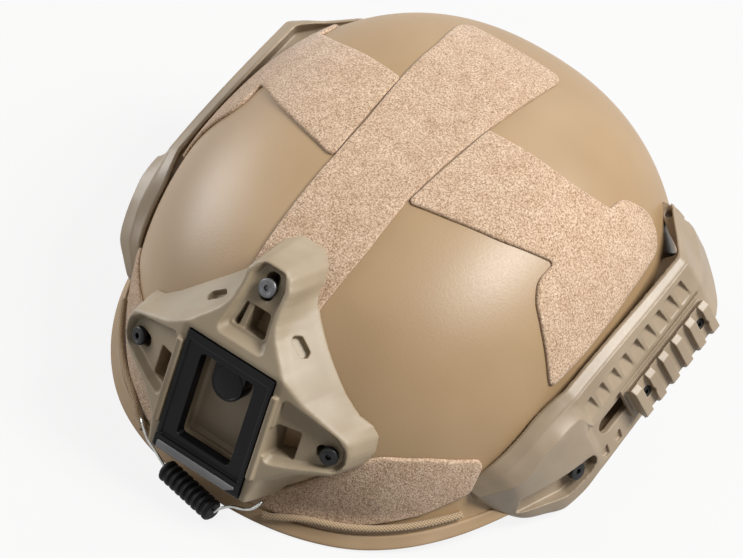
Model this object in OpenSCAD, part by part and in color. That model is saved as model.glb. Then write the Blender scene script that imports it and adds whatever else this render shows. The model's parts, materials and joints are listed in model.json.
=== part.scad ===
// High cut bump helmet with side rails, front mount plate, loop panels and a full inner harness.
// Everything on the shell is laid out in the dome's own frame (front -Y, left side +X, Z out of the crown)
// and then turned to stand on its rim. Millimetres.

/* [Dome] */
// Half width of the dome at its widest level
half_w = 114.7; // [112:0.1:118]
// Reach of the dome to the front
reach_f = 140.4; // [137:0.1:144]
// Reach of the dome to the rear
reach_r = 118.6; // [116:0.1:122]
// Height of the crown over the widest level
dome_h = 137.5; // [135:0.5:140]
// Wall of the shell
wall = 3; // [2.4:0.1:3.6]
// Forward lean of the dome when it stands on its rim
lean = 12; // [11:0.5:13]
// Outward flare of the brim at the front
brim_flare = 7; // [5:0.5:8]
// Height over which the brim flares
brim_h = 15; // [12:1:18]
// Wall of the edge trim
trim_wall = 1.1; // [0.8:0.1:1.4]

/* [Loop panels] */
// Thickness of the loop panels
loop_t = 1.5; // [1:0.1:2]
// Gap left under everything that is laid on the shell
seat_gap = 0.3; // [0.2:0.05:0.4]

/* [Front mount] */
// Backward tilt of the mount face
mount_tilt = 27.4; // [26:0.2:29]
// Width of the opening in the black frame
frame_in_w = 28; // [26:0.5:30]
// Width of the black frame
frame_w = 47.8; // [46:0.2:49]
// Length of the black frame
frame_l = 61; // [59:0.5:63]
// Thickness of the mount's skirt on the shell
skirt_t = 3.4; // [2.8:0.1:4]
// Half spacing of the two lower mount screws
mount_screw_x = 51.8; // [51:0.1:52.4]
// Height of the top mount screw over the face centre
mount_screw_y = 60; // [59:0.5:61]
// Diameter of the mount screw shanks
mount_shank = 4; // [3.5:0.1:4.4]

/* [Side rails] */
// Outward tilt of the rail face
rail_tilt = 16; // [15:0.5:17]
// Rise of the rail toward the rear in the dome's frame
rail_rise = 12; // [11:0.5:13]
// Length of the slot
slot_l = 80; // [78:0.5:82]
// Height of the slot
slot_h = 8.6; // [8:0.2:9]
// Pitch of the row of notches
notch_pitch = 8.65; // [8.4:0.05:8.8]
// Number of notches in the row
notches = 9; // [7:1:9]
// Diameter of the rail screw heads
rail_head = 8.4; // [7.6:0.2:9]
// Diameter of the eye in the rear lug
eye_d = 4.4; // [3.6:0.2:4.8]

/* [Accessory rail] */
// Pitch of the cross slots
tooth_pitch = 10.007; // [9.9:0.001:10.1]
// Width of a cross slot
tooth_gap = 5.23; // [5:0.01:5.4]
// Number of teeth
teeth = 6; // [5:1:6]
// Full width over the dovetail
dove_w = 21.2; // [20.8:0.1:21.4]
// Full height over the rail face
dove_h = 9.6; // [9:0.1:10]
// Distance of the accessory rail from the slot's front end
rail_rest = 20.5; // [19:0.5:22]

/* [Bungee] */
// Diameter of the bungee cord
cord_d = 3.2; // [2.8:0.1:3.6]
// Diameter of the wire of the hooks
wire_d = 1.4; // [1.2:0.1:1.6]

/* [Inner harness] */
// Thickness of the impact foam
foam_t = 13; // [11:0.5:14]
// Thickness of the comfort pads
pad_t = 9; // [7:0.5:10]
// Width of the webbing
web_w = 18; // [16:0.5:20]
// Thickness of the webbing
web_t = 1.4; // [1.2:0.1:1.6]
// Diameter of the dial knob
knob_d = 27; // [25:0.5:29]
// Ribs round the dial knob
knob_ribs = 18; // [14:1:20]

/* [Hidden] */

shell_tan = [0.66, 0.54, 0.40];
loop_tan = [0.73, 0.60, 0.49];
poly_tan = [0.60, 0.52, 0.41];
black = [0.07, 0.07, 0.08];
steel = [0.62, 0.62, 0.60];

// exponents of the plan curve and of the vertical curve
pe = 2.24;
qe = 2.75;
// shift that puts the middle of the footprint on the origin and the trim on the floor
shift_y = 24.3;
lift = 4.6;
// rim height over the floor for every ten degrees from the front round to the nape
rim_rise = [0, 0, 0, 0.6, 3, 6.5, 10, 12, 14, 20, 34, 46, 50, 40, 18, 5, 2.7, 2.9, 3];
// share of the flare for every ten degrees
flare_of = [1, 1, 1, 1, 0.95, 0.85, 0.7, 0.5, 0.3, 0.2, 0.15, 0.1, 0.1, 0.1, 0.15, 0.2, 0.2, 0.2, 0.2];

function sg(v) = v < 0 ? -1 : 1;
function pw(v, e) = sg(v) * pow(abs(v), e);
function unit(v) = v / norm(v);
function crom(a, b, c, d, t)
    = b + 0.5 * t * (c - a + t * (2 * a - 5 * b + 4 * c - d + t * (3 * (b - c) + d - a)));
function per10(list, a) = let (s = min(abs(a), 180) / 10, i = min(floor(s), 17))
  crom(list[max(i - 1, 0)], list[i], list[i + 1], list[min(i + 2, 18)], s - i);
// plan point of the widest level at angle a from the front, positive toward +X
function plan(a) = [half_w * pw(sin(a), 2 / pe), -(cos(a) > 0 ? reach_f : reach_r) * pw(cos(a), 2 / pe)];
function rho(z) = z <= 0 ? 1 : pow(max(1 - pow(z / dome_h, qe), 0), 1 / qe);
function rad(v) = pow(pow(abs(v[0]) / half_w, pe) + pow(abs(v[1]) / (v[1] < 0 ? reach_f : reach_r), pe),
    1 / pe);
function full(v) = pow(pow(rad(v), qe) + pow(max(v[2], 0) / dome_h, qe), 1 / qe);
function nd(v) = let (r = pow(max(rad(v), 0.0001), qe - pe), b = v[1] < 0 ? reach_f : reach_r)
  unit([r * sg(v[0]) * pow(abs(v[0]), pe - 1) / pow(half_w, pe), r * sg(v[1]) * pow(abs(v[1]),
      pe - 1) / pow(b, pe),
    pow(max(v[2], 0), qe - 1) / pow(dome_h, qe)]);
// any point pulled onto the dome and lifted off it by o
function onto(v, o) = let (s = v / full(v)) s + o * nd(s);
// dome point at plan angle a and height z
function surf(a, z, o) = let (p = plan(a) * rho(z), s = [p[0], p[1], z]) s + o * nd(s);
// dome point at plan angle a and climb b
function over(a, b, o) = let (f = pow(pow(cos(b), qe) + pow(sin(b), qe), 1 / qe), p = plan(a) * cos(b) / f,
  s = [p[0], p[1], dome_h * sin(b) / f]) s + o * nd(s);
function climb(z) = atan2(z / dome_h, rho(z));
function flare(a) = brim_flare * per10(flare_of, a);
function rim_z(a) = (per10(rim_rise, a) + trim_wall - lift
  - (plan(a)[1] * 0.995 + nd([plan(a)[0], plan(a)[1], 0])[1] * (flare(a) + 1.3)) * sin(lean)) / cos(lean);
// the brim's flare at the front and the slight tuck of the nape
function lip(a, z) = flare(a) * pow(max(0, 1 - (z - rim_z(a)) / brim_h), 2)
  - 8 * max(0, -cos(a)) * pow(max(0, 26 - z) / 55, 2);
function brim(a, dz, o) = surf(a, rim_z(a) + dz, o + lip(a, rim_z(a) + dz));

// any point pulled onto the shell's face, flare and tuck included, and lifted off it by o
function bearing(v) = atan2(sg(v[0]) * pow(abs(v[0]) / half_w, pe / 2),
    -sg(v[1]) * pow(abs(v[1]) / (v[1] < 0 ? reach_f : reach_r), pe / 2));
function on_skin(v, o) = onto(v, o + lip(bearing(v), onto(v, 0)[2]));

module stand() translate([0, shift_y, lift]) rotate([lean, 0, 0]) children();
module level() translate([0, shift_y, lift]) children();
module both() { children(); mirror([1, 0, 0]) children(); }
// solid between two grids of points, the first on the outside
module slab(t, b) {
  n = len(t);
  m = len(t[0]);
  k = n * m;
  polyhedron([for (r = t) each r, for (r = b) each r],
    [for (i = [0:n - 2], j = [0:m - 2]) each [[i * m + j, i * m + j + 1, i * m + m + j + 1],
        [i * m + j, i * m + m + j + 1, i * m + m + j]],
      for (i = [0:n - 2], j = [0:m - 2]) each [[k + i * m + j, k + i * m + m + j, k + i * m + m + j + 1],
          [k + i * m + j, k + i * m + m + j + 1, k + i * m + j + 1]],
      for (j = [0:m - 2]) each [[j + 1, j, k + j], [j + 1, k + j, k + j + 1]],
      for (j = [0:m - 2], q = (n - 1) * m) each [[q + j, q + j + 1, k + q + j + 1], [q + j, k + q + j + 1,
          k + q + j]],
      for (i = [0:n - 2], q = i * m) each [[q, q + m, k + q + m], [q, k + q + m, k + q]],
      for (i = [0:n - 2], q = i * m + m - 1) each [[q + m, q, k + q], [q + m, k + q, k + q + m]]],
          convexity = 8);
}
// solid through rings of points that run left round the way they are stacked
module loft(s, ring = false) {
  n = len(s);
  m = len(s[0]);
  polyhedron([for (r = s) each r],
    [for (i = [0:n - (ring ? 1 : 2)], j = [0:m - 1], p = i * m, q = ((i + 1) % n) * m, e = (j + 1) % m)
        each [[p + j, q + j, q + e], [p + j, q + e, p + e]],
      if (!ring) [for (j = [0:m - 1]) j],
      if (!ring) [for (j = [m - 1:-1:0]) (n - 1) * m + j]], convexity = 8);
}
// round cord of diameter d through a list of points, with its rings held level by the up direction
module cord(p, d, up = [0, 0, 1], m = 8) {
  n = len(p);
  loft([for (i = [0:n - 1]) let (t = unit(p[min(i + 1, n - 1)] - p[max(i - 1, 0)]),
      x = unit(cross(up, t)), y = cross(t, x))
    [for (j = [0:m - 1]) p[i] + d / 2 * (x * cos(360 * j / m) + y * sin(360 * j / m))]]);
}
// flat band of width w and thickness t through points, its broad side facing the directions in f
module band(p, f, w, t) {
  n = len(p);
  loft([for (i = [0:n - 1]) let (d = unit(p[min(i + 1, n - 1)] - p[max(i - 1, 0)]),
      s = unit(cross(f[i], d)), q = unit(cross(d, s)))
    [p[i] + s * w / 2 - q * t / 2, p[i] + s * w / 2 + q * t / 2, p[i] - s * w / 2 + q * t / 2,
        p[i] - s * w / 2 - q * t / 2]]);
}
function mix(a, b, t) = a * (1 - t) + b * t;
// point at share t of a chain of points
function along(c, t) = let (s = t * (len(c) - 1), i = min(floor(s), len(c) - 2))
  crom(c[max(i - 1, 0)], c[i], c[i + 1], c[min(i + 2, len(c) - 1)], s - i);
// panel laid on the dome between two edges given as chains of rough points
module laid(a, b, n, m, t) {
  g = [for (i = [0:n]) let (p = along(a, i / n), q = along(b, i / n)) [for (j = [0:m]) mix(p, q, j / m)]];
  slab([for (r = g) [for (v = r) on_skin(v, seat_gap + t)]],
      [for (r = g) [for (v = r) on_skin(v, seat_gap)]]);
}
// cushion or foam block under the dome between plan angles and climbs
module under(a0, a1, b0, b1, o0, o1, n, m, puff = 0) {
  function swell(i, j) = puff * (1 - pow(2 * i / n - 1, 4)) * (1 - pow(2 * j / m - 1, 4));
  slab([for (i = [0:n]) [for (j = [0:m]) over(mix(a0, a1, i / n), mix(b0, b1, j / m), o0)]],
    [for (i = [0:n]) [for (j = [0:m]) over(mix(a0, a1, i / n), mix(b0, b1, j / m), o1 - swell(i, j))]]);
}
// the shell's outer face is laid out in columns of plan angle and rows, from the rim to where it starts to
// close over, and on from there in steps of climb
cols = 72;
low_rows = 6;
rings = 12;
bend_z = 52;
function wall_point(a, k, o, flared = 1) = k < low_rows
  ? let (z = k < 0 ? rim_z(a) - 20 : mix(rim_z(a), bend_z, pow(k / low_rows, 1.4)))
      surf(a, z, flared * lip(a, max(z, rim_z(a))) + o)
  : over(a, mix(climb(bend_z), 90, (k - low_rows) / rings), o);
// block under the shell's face lifted by o, for trimming what sits on it
module core(a0, a1, k0, k1, o, deep = 40) {
  n = (a1 - a0) * cols / 360;
  slab([for (i = [0:n]) [for (k = [k0:k1]) wall_point(a0 + 360 * i / cols, k, o)]],
    [for (i = [0:n]) [for (k = [k0:k1]) wall_point(a0 + 360 * i / cols, k, -deep)]]);
}

// places of the fasteners: mount screws, rail screws and harness anchors, as points and axes on the dome
mount_z = dome_h * 0.5615;
mount_over = 14.16;
mount_at = surf(0, mount_z, mount_over);
function from_mount(v) = mount_at + [v[0], v[1] * sin(mount_tilt) - v[2] * cos(mount_tilt),
    v[1] * cos(mount_tilt) + v[2] * sin(mount_tilt)];
module on_mount() translate(mount_at) rotate([90 - mount_tilt, 0, 0]) children();
rail_at = [half_w + 6.3, -22.3, 40];
module on_rail() translate(rail_at) rotate([rail_rise, 0, 0]) rotate([0, -rail_tilt, 0])
    rotate([90, 0, 90]) children();
screw_t = -18.5;
screw_w = -7.4;
rear_t = 88;
rear_w = 6;
rear_h = -26;
rear_turn = 24;
rear_depth = 11.5;
side_turn = 20;
top_turn = 18;
mount_hole_h = -16;
mount_screw_low = 4.6;
nut_t = 1.8;
thin_nut_t = 1.6;
// room between the inner wall and the mount's nuts, and between it and what holds the harness tabs
low_nut_gap = 1.34;
top_nut_gap = 2.16;
front_nut_gap = 4.74;
rear_head_gap = 4.42;
// way from p against the direction d to where the dome's face, lowered by w, is met
function under_face(p, d, w, lo = -20, hi = 60, k = 24) =
  let (m = (lo + hi) / 2, q = p - d * m, s = q / full(q))
  k == 0 ? hi : (s - q) * nd(s) > w ? under_face(p, d, w, lo, m, k - 1)
    : under_face(p, d, w, m, hi, k - 1);
function hole_at(s) = from_mount([s * mount_screw_x, s == 0 ? mount_screw_y : mount_screw_low,
    mount_hole_h]);
function hole_axis(s) = let (a = s == 0 ? -top_turn : 0, b = s * side_turn)
  from_mount([sin(b) * cos(a), -sin(a), cos(b) * cos(a)]) - mount_at;
function hole_nut(s) = under_face(hole_at(s), hole_axis(s), wall) + thin_nut_t
  + (s == 0 ? top_nut_gap : low_nut_gap);
// a direction of the rail's frame, turned into the dome's
function rail_way(q) = let (x = q[2] * cos(rail_tilt) - q[1] * sin(rail_tilt),
    z = q[2] * sin(rail_tilt) + q[1] * cos(rail_tilt))
  [x, q[0] * cos(rail_rise) - z * sin(rail_rise), q[0] * sin(rail_rise) + z * cos(rail_rise)];
front_hole = rail_at + rail_way([screw_t, screw_w, 0]);
rear_hole = rail_at + rail_way([rear_t, rear_w, rear_h]);
rear_axis = rail_way([sin(rear_turn), 0, cos(rear_turn)]);
front_wall = under_face(front_hole, rail_way([0, 0, 1]), wall);
rear_wall = under_face(rear_hole, rear_axis, wall);
front_nut = front_wall + front_nut_gap + nut_t;
rear_head = rear_wall + rear_head_gap;

// shell with its flared brim
module shell() color(shell_tan) stand() difference() {
  shell_wall();
  for (x = [-1, 1]) mount_hole(x) cylinder(d = mount_shank + 0.4, h = 60, center = true, $fn = 24);
  mount_hole(0) cylinder(d = mount_shank + 0.4, h = 60, center = true, $fn = 24);
  both() on_rail() translate([screw_t, screw_w, -12]) cylinder(d = 4.4, h = 24, center = true, $fn = 24);
  both() on_rail() translate([rear_t, rear_w, rear_h]) rail_rear_turn() cylinder(d = 4.4, h = 24,
      center = true, $fn = 24);
}
module shell_wall() {
  m = cols;
  n = low_rows + rings;
  k = n * m;
  polyhedron([for (o = [0, -wall]) for (r = [0:n - 1]) for (i = [0:m - 1]) wall_point(-180 + 360 * i / m,
      r, o), [0, 0, dome_h], [0, 0, dome_h - wall]],
    [for (i = [0:n - 2], j = [0:m - 1], p = i * m, q = i * m + m, e = (j + 1) % m) each [[p + j, q + j,
        q + e], [p + j, q + e, p + e]],
      for (i = [0:n - 2], j = [0:m - 1], p = k + i * m, q = k + i * m + m, e = (j + 1) % m)
          each [[p + j, q + e, q + j], [p + j, p + e, q + e]],
      for (j = [0:m - 1], e = (j + 1) % m) each [[j, e, k + e], [j, k + e, k + j]],
      for (j = [0:m - 1], e = (j + 1) % m, q = (n - 1) * m) [q + j, 2 * k, q + e],
      for (j = [0:m - 1], e = (j + 1) % m, q = k + (n - 1) * m) [q + j, q + e, 2 * k + 1]], convexity = 8);
}
module mount_hole(s) on_mount()
  translate([s * mount_screw_x, s == 0 ? mount_screw_y : mount_screw_low, mount_hole_h])
    rotate([s == 0 ? -top_turn : 0, s * side_turn, 0]) children();
module rail_rear_turn() rotate([0, rear_turn, 0]) children();

// rubber channel over the raw edge
trim_h = 3.6;
// room that the trim takes on the outer face of the brim, from its foot to a little above its lip
module trim_room(a0, a1) let (n = (a1 - a0) * cols / 360)
  slab([for (i = [0:n]) [for (dz = [-8, 0, 2, trim_h + 0.4]) brim(a0 + 360 * i / cols, dz,
      trim_wall + 0.7)]],
    [for (i = [0:n]) [for (dz = [-8, 0, 2, trim_h + 0.4]) brim(a0 + 360 * i / cols, dz, -8)]]);
module edge_trim() color(shell_tan) stand() {
  g = 0.25;
  w = trim_wall;
  loft([for (i = [0:cols - 1]) let (a = -180 + 360 * i / cols)
    [brim(a, -g - w, g + w), brim(a, -g - w, -wall - g - w), brim(a, trim_h, -wall - g - w),
        brim(a, trim_h, -wall - g), brim(a, -g, -wall - g),
      brim(a, -g, g), brim(a, trim_h, g), brim(a, trim_h, g + w)]], ring = true);
}

// loop panels
module loop_crown() color(loop_tan) stand() difference() {
  laid([[19, -95, 117], [21.6, -64, 131], [20.2, -34, 136], [24, 20, 136], [27, 50, 132], [26, 72, 120]],
    [[-19, -95, 117], [-19.3, -64, 131], [-19.6, -34, 136], [-23.4, 20, 136], [-26, 50, 132],
        [-30, 72, 120]], 20, 5, loop_t);
  skirt_room();
}
module side_panel() stand()
  laid([[20.9, -31, 136], [60, -19, 128], [80, -8, 116], [81.6, -20, 112], [86, -26, 108], [93, -31, 98],
      [101, -37, 81], [103.4, -37.5, 75]],
    [[24.7, 20.5, 136], [50, 24.5, 131], [66, 27, 124], [78, 32, 113], [81, 44, 107], [87, 54, 93],
        [94, 59, 76], [98, 50, 73]], 24, 8, loop_t);
module loop_side_left() color(loop_tan) side_panel();
module loop_side_right() color(loop_tan) mirror([1, 0, 0]) side_panel();
module brow_panel() stand()
  difference() {
    laid([[17, -139, 36], [34, -135, 36], [62, -122, 36], [84, -101, 38], [94, -85, 43]],
        [[46, -124, 57], [62, -112, 68], [74, -102, 69], [86, -90, 65], [95.6, -75, 57]],
      12, 5, loop_t);
    skirt_room();
  }
module loop_brow_left() color(loop_tan) brow_panel();
module loop_brow_right() color(loop_tan) mirror([1, 0, 0]) brow_panel();
module loop_nape() color(loop_tan) stand()
  laid([[-46, 104, 46], [-20, 114, 50], [20, 114, 50], [46, 104, 46]], [[-52, 104, 4], [-20, 117, -2],
      [20, 117, -2], [52, 104, 4]], 12, 6, loop_t);

// front mount plate
function twin(p) = concat(p, [for (i = [len(p) - 1:-1:0]) [-p[i][0], p[i][1]]]);
module crest_outline() polygon(twin([[27.3, -33], [29, -25], [36, -16], [46, -9], [56, -7], [62.5, -3],
    [65, 4], [63, 12], [56, 16], [46, 16], [37, 18],
  [31, 22.5], [27.6, 29], [25, 35.5], [15.5, 41], [12.8, 51], [12.6, 65], [11, 70.5], [5, 74]]));
module flank_outline() polygon(twin([[28.5, -33], [32, -25], [38, -17], [47, -11], [57, -9], [64, -4],
    [66, 5], [64.5, 14], [58, 18.5], [49, 20], [41, 25],
  [33, 36], [20, 47], [15.6, 57], [14, 66], [11, 72.5], [5, 75.5]]));
module skirt_outline() polygon(twin([[29, -34], [35, -24], [42, -15.8], [54, -10.8], [63, -6], [67.2, 3],
    [67, 15], [62, 20], [55, 22.5], [46, 31], [35, 42.5],
  [24, 52], [18, 59], [16, 66], [13, 71.5], [6.5, 76]]));
module skirt_room() on_mount() translate([0, 0, -60]) linear_extrude(100) offset(delta = 0.5)
    skirt_outline();
// pyramid over the face and the three lobes, lowered by d and grown by g
module crest(d, g) on_mount() hull() {
  translate([-27.3 - g, -33, -22 - d]) cube([54.6 + 2 * g, 65.5 + g, 22]);
  for (s = [-1, 1]) translate([s * 53, 4.6, -10.4 - d]) rotate([0, s * 20, 0]) translate([0, 0, -16])
      cylinder(r = 12 + g, h = 16, $fn = 32);
  translate([0, 61.5, -9.6 - d]) rotate([-17, 0, 0]) translate([0, 0, -16]) cylinder(r = 12.5 + g, h = 16,
      $fn = 32);
}
module side_pocket(s) on_mount() translate([s * 38, 1, -9.5]) rotate([0, s * 20, 0]) linear_extrude(24)
  polygon([for (v = [[-12, -11], [-2, -9.5], [8, -6], [16, -5.4], [21, -2.6], [23.4, 3], [21.4, 8.6],
      [16, 11.6], [9, 11.4], [0, 10.4], [-6, 12], [-11, 16]]) [s * v[0], v[1]]]);
module shroud_body() color(poly_tan) stand() difference() {
  union() {
    intersection() {
      core(-60, 60, 1, 15, skirt_t, 8);
      on_mount() translate([0, 0, -60]) linear_extrude(62) skirt_outline();
    }
    intersection() {
      crest(0, 0);
      on_mount() translate([0, 0, -50]) linear_extrude(52) crest_outline();
    }
    intersection() {
      crest(6, 3);
      on_mount() translate([0, 0, -50]) linear_extrude(52) flank_outline();
    }
  }
  core(-65, 65, 0, 16, seat_gap);
  on_mount() {
    translate([-frame_w / 2 - 0.3, -frame_l / 2 - 0.3, -4.5]) cube([frame_w + 0.6, frame_l + 0.6, 10]);
    translate([-frame_in_w / 2 - 1, -23, -11]) cube([frame_in_w + 2, 45, 10]);
    // pocket over the frame with its window
    translate([0, 0, -8.6]) rotate([-13, 0, 0]) translate([0, 0, -8]) linear_extrude(30)
      polygon([[-13, 36], [13, 36], [10, 41], [9.3, 50], [9, 63], [6.5, 68.5], [0, 71.5], [-6.5, 68.5],
          [-9, 63], [-9.3, 50], [-10, 41]]);
    translate([-7, 37, -40]) cube([14, 12.5, 40]);
    translate([-2.6, 53, -40]) cube([5.2, 12, 40]);
    for (s = [-1, 1]) translate([s * 32.5 - 6.5, -8.5, -40]) cube([13, 15.5, 50]);
  }
  for (s = [-1, 1]) side_pocket(s);
  for (s = [-1, 1]) mount_hole(s) cylinder(d = mount_shank + 0.6, h = 40, center = true, $fn = 24);
  mount_hole(0) cylinder(d = mount_shank + 0.6, h = 40, center = true, $fn = 24);
}
// black frame the arm of a device slides into
module shroud_insert() color(black) stand() on_mount() difference() {
  union() {
    translate([-frame_w / 2, -frame_l / 2, -4.2]) cube([frame_w, frame_l, 3.4]);
    translate([-frame_w / 2, -frame_l / 2, -1]) cube([frame_w, 6.4, 3.2]);
    translate([-frame_w / 2, frame_l / 2 - 4, -1]) cube([frame_w, 4, 1.8]);
    for (s = [-1, 1]) translate([s * (frame_w / 2 - 2.4) - 2.4, -frame_l / 2, -1]) cube([4.8, frame_l, 2]);
  }
  translate([-frame_in_w / 2, -22, -10]) cube([frame_in_w, 43, 20]);
  translate([-21, -frame_l / 2 - 1, 0.6]) rotate([-30, 0, 0]) cube([42, 6, 4]);
}
module insert_boss() color(black) stand() on_mount() difference() {
  union() {
    translate([0, 12.7, -10.6]) cylinder(r = 8, h = 9, $fn = 40);
    translate([-8, 12.7, -10.6]) cube([16, 8.3, 9]);
  }
  translate([0, 12.7, -2.4]) cylinder(r = 6.4, h = 3, $fn = 40);
}
module cap_screw(head, shank, l, hex = 2.5) difference() {
  union() {
    cylinder(d = head, h = 2.6, $fn = 32);
    translate([0, 0, -l]) cylinder(d = shank, h = l + 0.1, $fn = 20);
  }
  translate([0, 0, 1]) cylinder(d = hex, h = 3, $fn = 6);
}
// height of the screws' seats over the bottom of their holes
top_seat = 1.6;
low_seat = 2.6;
module shroud_screw_top() color(steel * 0.7) stand()
  mount_hole(0) translate([0, 0, top_seat]) cap_screw(9, mount_shank, top_seat + hole_nut(0));
module shroud_screws_lower() color(black) stand()
  for (s = [-1, 1]) mount_hole(s) translate([0, 0, low_seat])
      cap_screw(8.6, mount_shank, low_seat + hole_nut(s));
module shroud_nuts() color(steel) stand() for (s = [-1, 0, 1])
  mount_hole(s) translate([0, 0, -hole_nut(s)]) difference() {
    cylinder(d = 11, h = thin_nut_t, $fn = 32);
    translate([0, 0, -1]) cylinder(d = mount_shank + 0.4, h = 4, $fn = 20);
  }

// side rail: sections along its length, each listed from the inner bottom round to the outer bottom
rail_t = [-60, -55, -48, -40, -30, -20, -9, -3, 79, 85, 92, 99, 103];
rail_low = [14, 0, -12, -18, -23, -22.5, -20.2, -19.9, -17, -16, -13, -8, -4];
rail_face = [-17.5, -14.5, -10.8, -8, -4.2, -1.8, -0.2, 0, 0, -2.5, -8, -15, -19.5];
rail_foot = [17, 10, 10, 10, 10, 10, 10.8, 10.9, 10.9, 8.5, 10.5, 12.5, 13.5];
rail_footh = [-17, -12.6, -5.5, -2, 1.1, 3.2, 4.2, 0, 0, -2.5, -8, -15, -19.5];
rail_brk = [18, 18.5, 19.5, 22, 26, 27.5, 26, 11.5, 11.5, 10.5, 11.6, 13.2, 14.2];
rail_brkh = [-16.5, -10.5, -3, 0.8, 3.8, 6, 6.5, 4.4, 2.2, -1.6, -8.1, -15.2, -19.7];
rail_led = [20.5, 23, 25.5, 27.5, 30.5, 32.5, 33, 33, 27, 26.5, 25.4, 25, 25];
rail_ledh = [-19.5, -14.5, -8, -4.2, -1, 0.8, 2.6, 3.6, 0.6, -4.5, -12.8, -20, -24];
rail_top = [22, 25.5, 29, 30.8, 33.2, 35.6, 37, 37, 30, 29.5, 28.4, 28.5, 28];
rail_toph = [-21.8, -18.6, -13, -9.8, -7, -5, -1.8, -0.4, -3, -7.5, -14.8, -21.8, -25.8];
rail_core = [20, 23, 26, 28, 30, 31, 32, 32, 20, 21, 24.5, 26, 26];
rail_in = [-34, -32, -30, -28, -26, -24, -18, -18, -18, -13, -22, -31, -33];
rail_edge = 1.7;
notch_t = 0.2;
notch_w = 22.6;
notch_n = 3.9;
module rail_body() difference() {
  loft([for (i = [0:len(rail_t) - 1]) let (t = rail_t[i], lo = rail_low[i], fc = rail_face[i],
      le = rail_led[i], lh = rail_ledh[i], tp = rail_top[i], th = rail_toph[i], n = rail_in[i])
    [[t, lo, n], [t, rail_core[i], n], [t, rail_core[i], th - rail_edge], [t, tp, th - rail_edge],
        [t, tp, th], [t, le + 0.6, lh - 1.2], [t, le, lh], [t, rail_brk[i], rail_brkh[i]],
        [t, rail_foot[i], rail_footh[i]], [t, lo + 2, fc], [t, lo, fc - 1.6]]]);
  // slot and the hollow behind it
  hull() for (x = [slot_h / 2 - 1, slot_l - 2 - slot_h / 2]) translate([x, 0, -20]) cylinder(d = slot_h,
      h = 30, $fn = 24);
  translate([-2, -9, -20]) cube([83, 17, 16.8]);
  // row of notches on the raised upper part
  for (k = [0:notches - 1]) translate([notch_t + k * notch_pitch, notch_w - 0.22 * k, notch_n - 0.29 * k])
      rotate([-3, 0, 0]) translate([0, 0, -2.4]) linear_extrude(6)
    polygon([[-2.8, 3.3], [2.8, 3.3], [1.5, -4], [-1.5, -4]]);
  for (x = [-2.4, 7]) translate([x, -12.4, -1.4]) linear_extrude(4)
      polygon([[-2.6, 1.6], [2.6, 2.6], [1.5, -3], [-1.5, -3]]);
  // pocket of the front screw with the groove that runs out to the tip
  translate([-8, 0, 0]) rotate([0, -10, 0]) translate([0, 0, -4.6]) linear_extrude(20)
    polygon([[0, -8], [-1.2, -4.6], [-5, -2.6], [-18, 1], [-40, 6.4], [-44, -4], [-20, -14.5], [-6, -13.6],
        [-1.4, -11.6]]);
  translate([screw_t, screw_w, -40]) cylinder(d = 4.8, h = 60, $fn = 24);
  translate([screw_t, screw_w, -6.8]) cylinder(d = rail_head + 0.8, h = 20, $fn = 32);
  translate([rear_t, rear_w, rear_h]) rail_rear_turn() translate([0, 0, -30])
      cylinder(d = 4.8, h = 30 + rear_depth + 0.6, $fn = 24);
  // lug at the rear end with its eye, over a hollow
  translate([94.5, -12, -46]) cube([14, 32.5, 25]);
  translate([99, 15, -26]) rotate([-90, 0, 0]) cylinder(d = eye_d, h = 20, $fn = 24);
}
module rail() stand() difference() {
  on_rail() rail_body();
  core(35, 155, -1, 14, seat_gap);
  trim_room(35, 125);
}
module rail_left() color(poly_tan) rail();
module rail_right() color(poly_tan) mirror([1, 0, 0]) rail();
// the front screw of a rail goes in from outside, the rear one from inside the bowl into a blind hole
front_seat = -6.5;
module rail_screws() color(black) both() stand() on_rail() {
  translate([screw_t, screw_w, front_seat]) cap_screw(rail_head, 4.2, front_seat + front_nut, 3);
  translate([rear_t, rear_w, rear_h]) rail_rear_turn() translate([0, 0, -rear_head]) mirror([0, 0, 1])
      cap_screw(rail_head, 4.2, rear_head + rear_depth, 3);
}
module rail_nuts() color(steel) both() stand() on_rail()
  translate([screw_t, screw_w, -front_nut]) difference() {
    cylinder(d = 11, h = nut_t, $fn = 32);
    translate([0, 0, -1]) cylinder(d = 4.8, h = 4, $fn = 20);
  }
// accessory rail that slides in the slot
adapter_l = tooth_pitch * (teeth - 1) + tooth_pitch - tooth_gap;
module adapter_left() color(poly_tan) stand() on_rail() translate([rail_rest - 1, 0, 0]) difference() {
  union() {
    translate([-2.4, -10.4, 0.3]) cube([adapter_l + 4.8, 20.8, 2.6]);
    translate([0, 0, 0]) rotate([90, 0, 90]) linear_extrude(adapter_l)
      polygon([[-7.9, 1], [7.9, 1], [7.9, 4.4], [dove_w / 2, 7.1], [8.1, dove_h], [-8.1, dove_h],
          [-dove_w / 2, 7.1], [-7.9, 4.4]]);
    translate([1, -slot_h / 2 + 0.4, -3]) cube([adapter_l - 2, slot_h - 0.8, 3.6]);
  }
  for (k = [0:teeth - 2]) translate([tooth_pitch - tooth_gap + k * tooth_pitch, -20, dove_h - 3])
      cube([tooth_gap, 40, 10]);
  for (k = [0, teeth - 2]) translate([tooth_pitch - tooth_gap / 2 + k * tooth_pitch, 0, -10]) {
    cylinder(d = 3.4, h = 30, $fn = 20);
    translate([0, 0, 14]) cylinder(d = 6.4, h = 20, $fn = 28);
  }
}
module adapter_screws_left() color(black) stand() on_rail() for (k = [0, teeth - 2])
  translate([rail_rest - 1 + tooth_pitch - tooth_gap / 2 + k * tooth_pitch, 0, 4.2]) difference() {
    union() {
      cylinder(d = 5.8, h = 2.2, $fn = 28);
      translate([0, 0, -10]) cylinder(d = 3, h = 10.1, $fn = 20);
    }
    translate([0, 0, 0.8]) cylinder(d = 2.5, h = 3, $fn = 6);
  }
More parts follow.
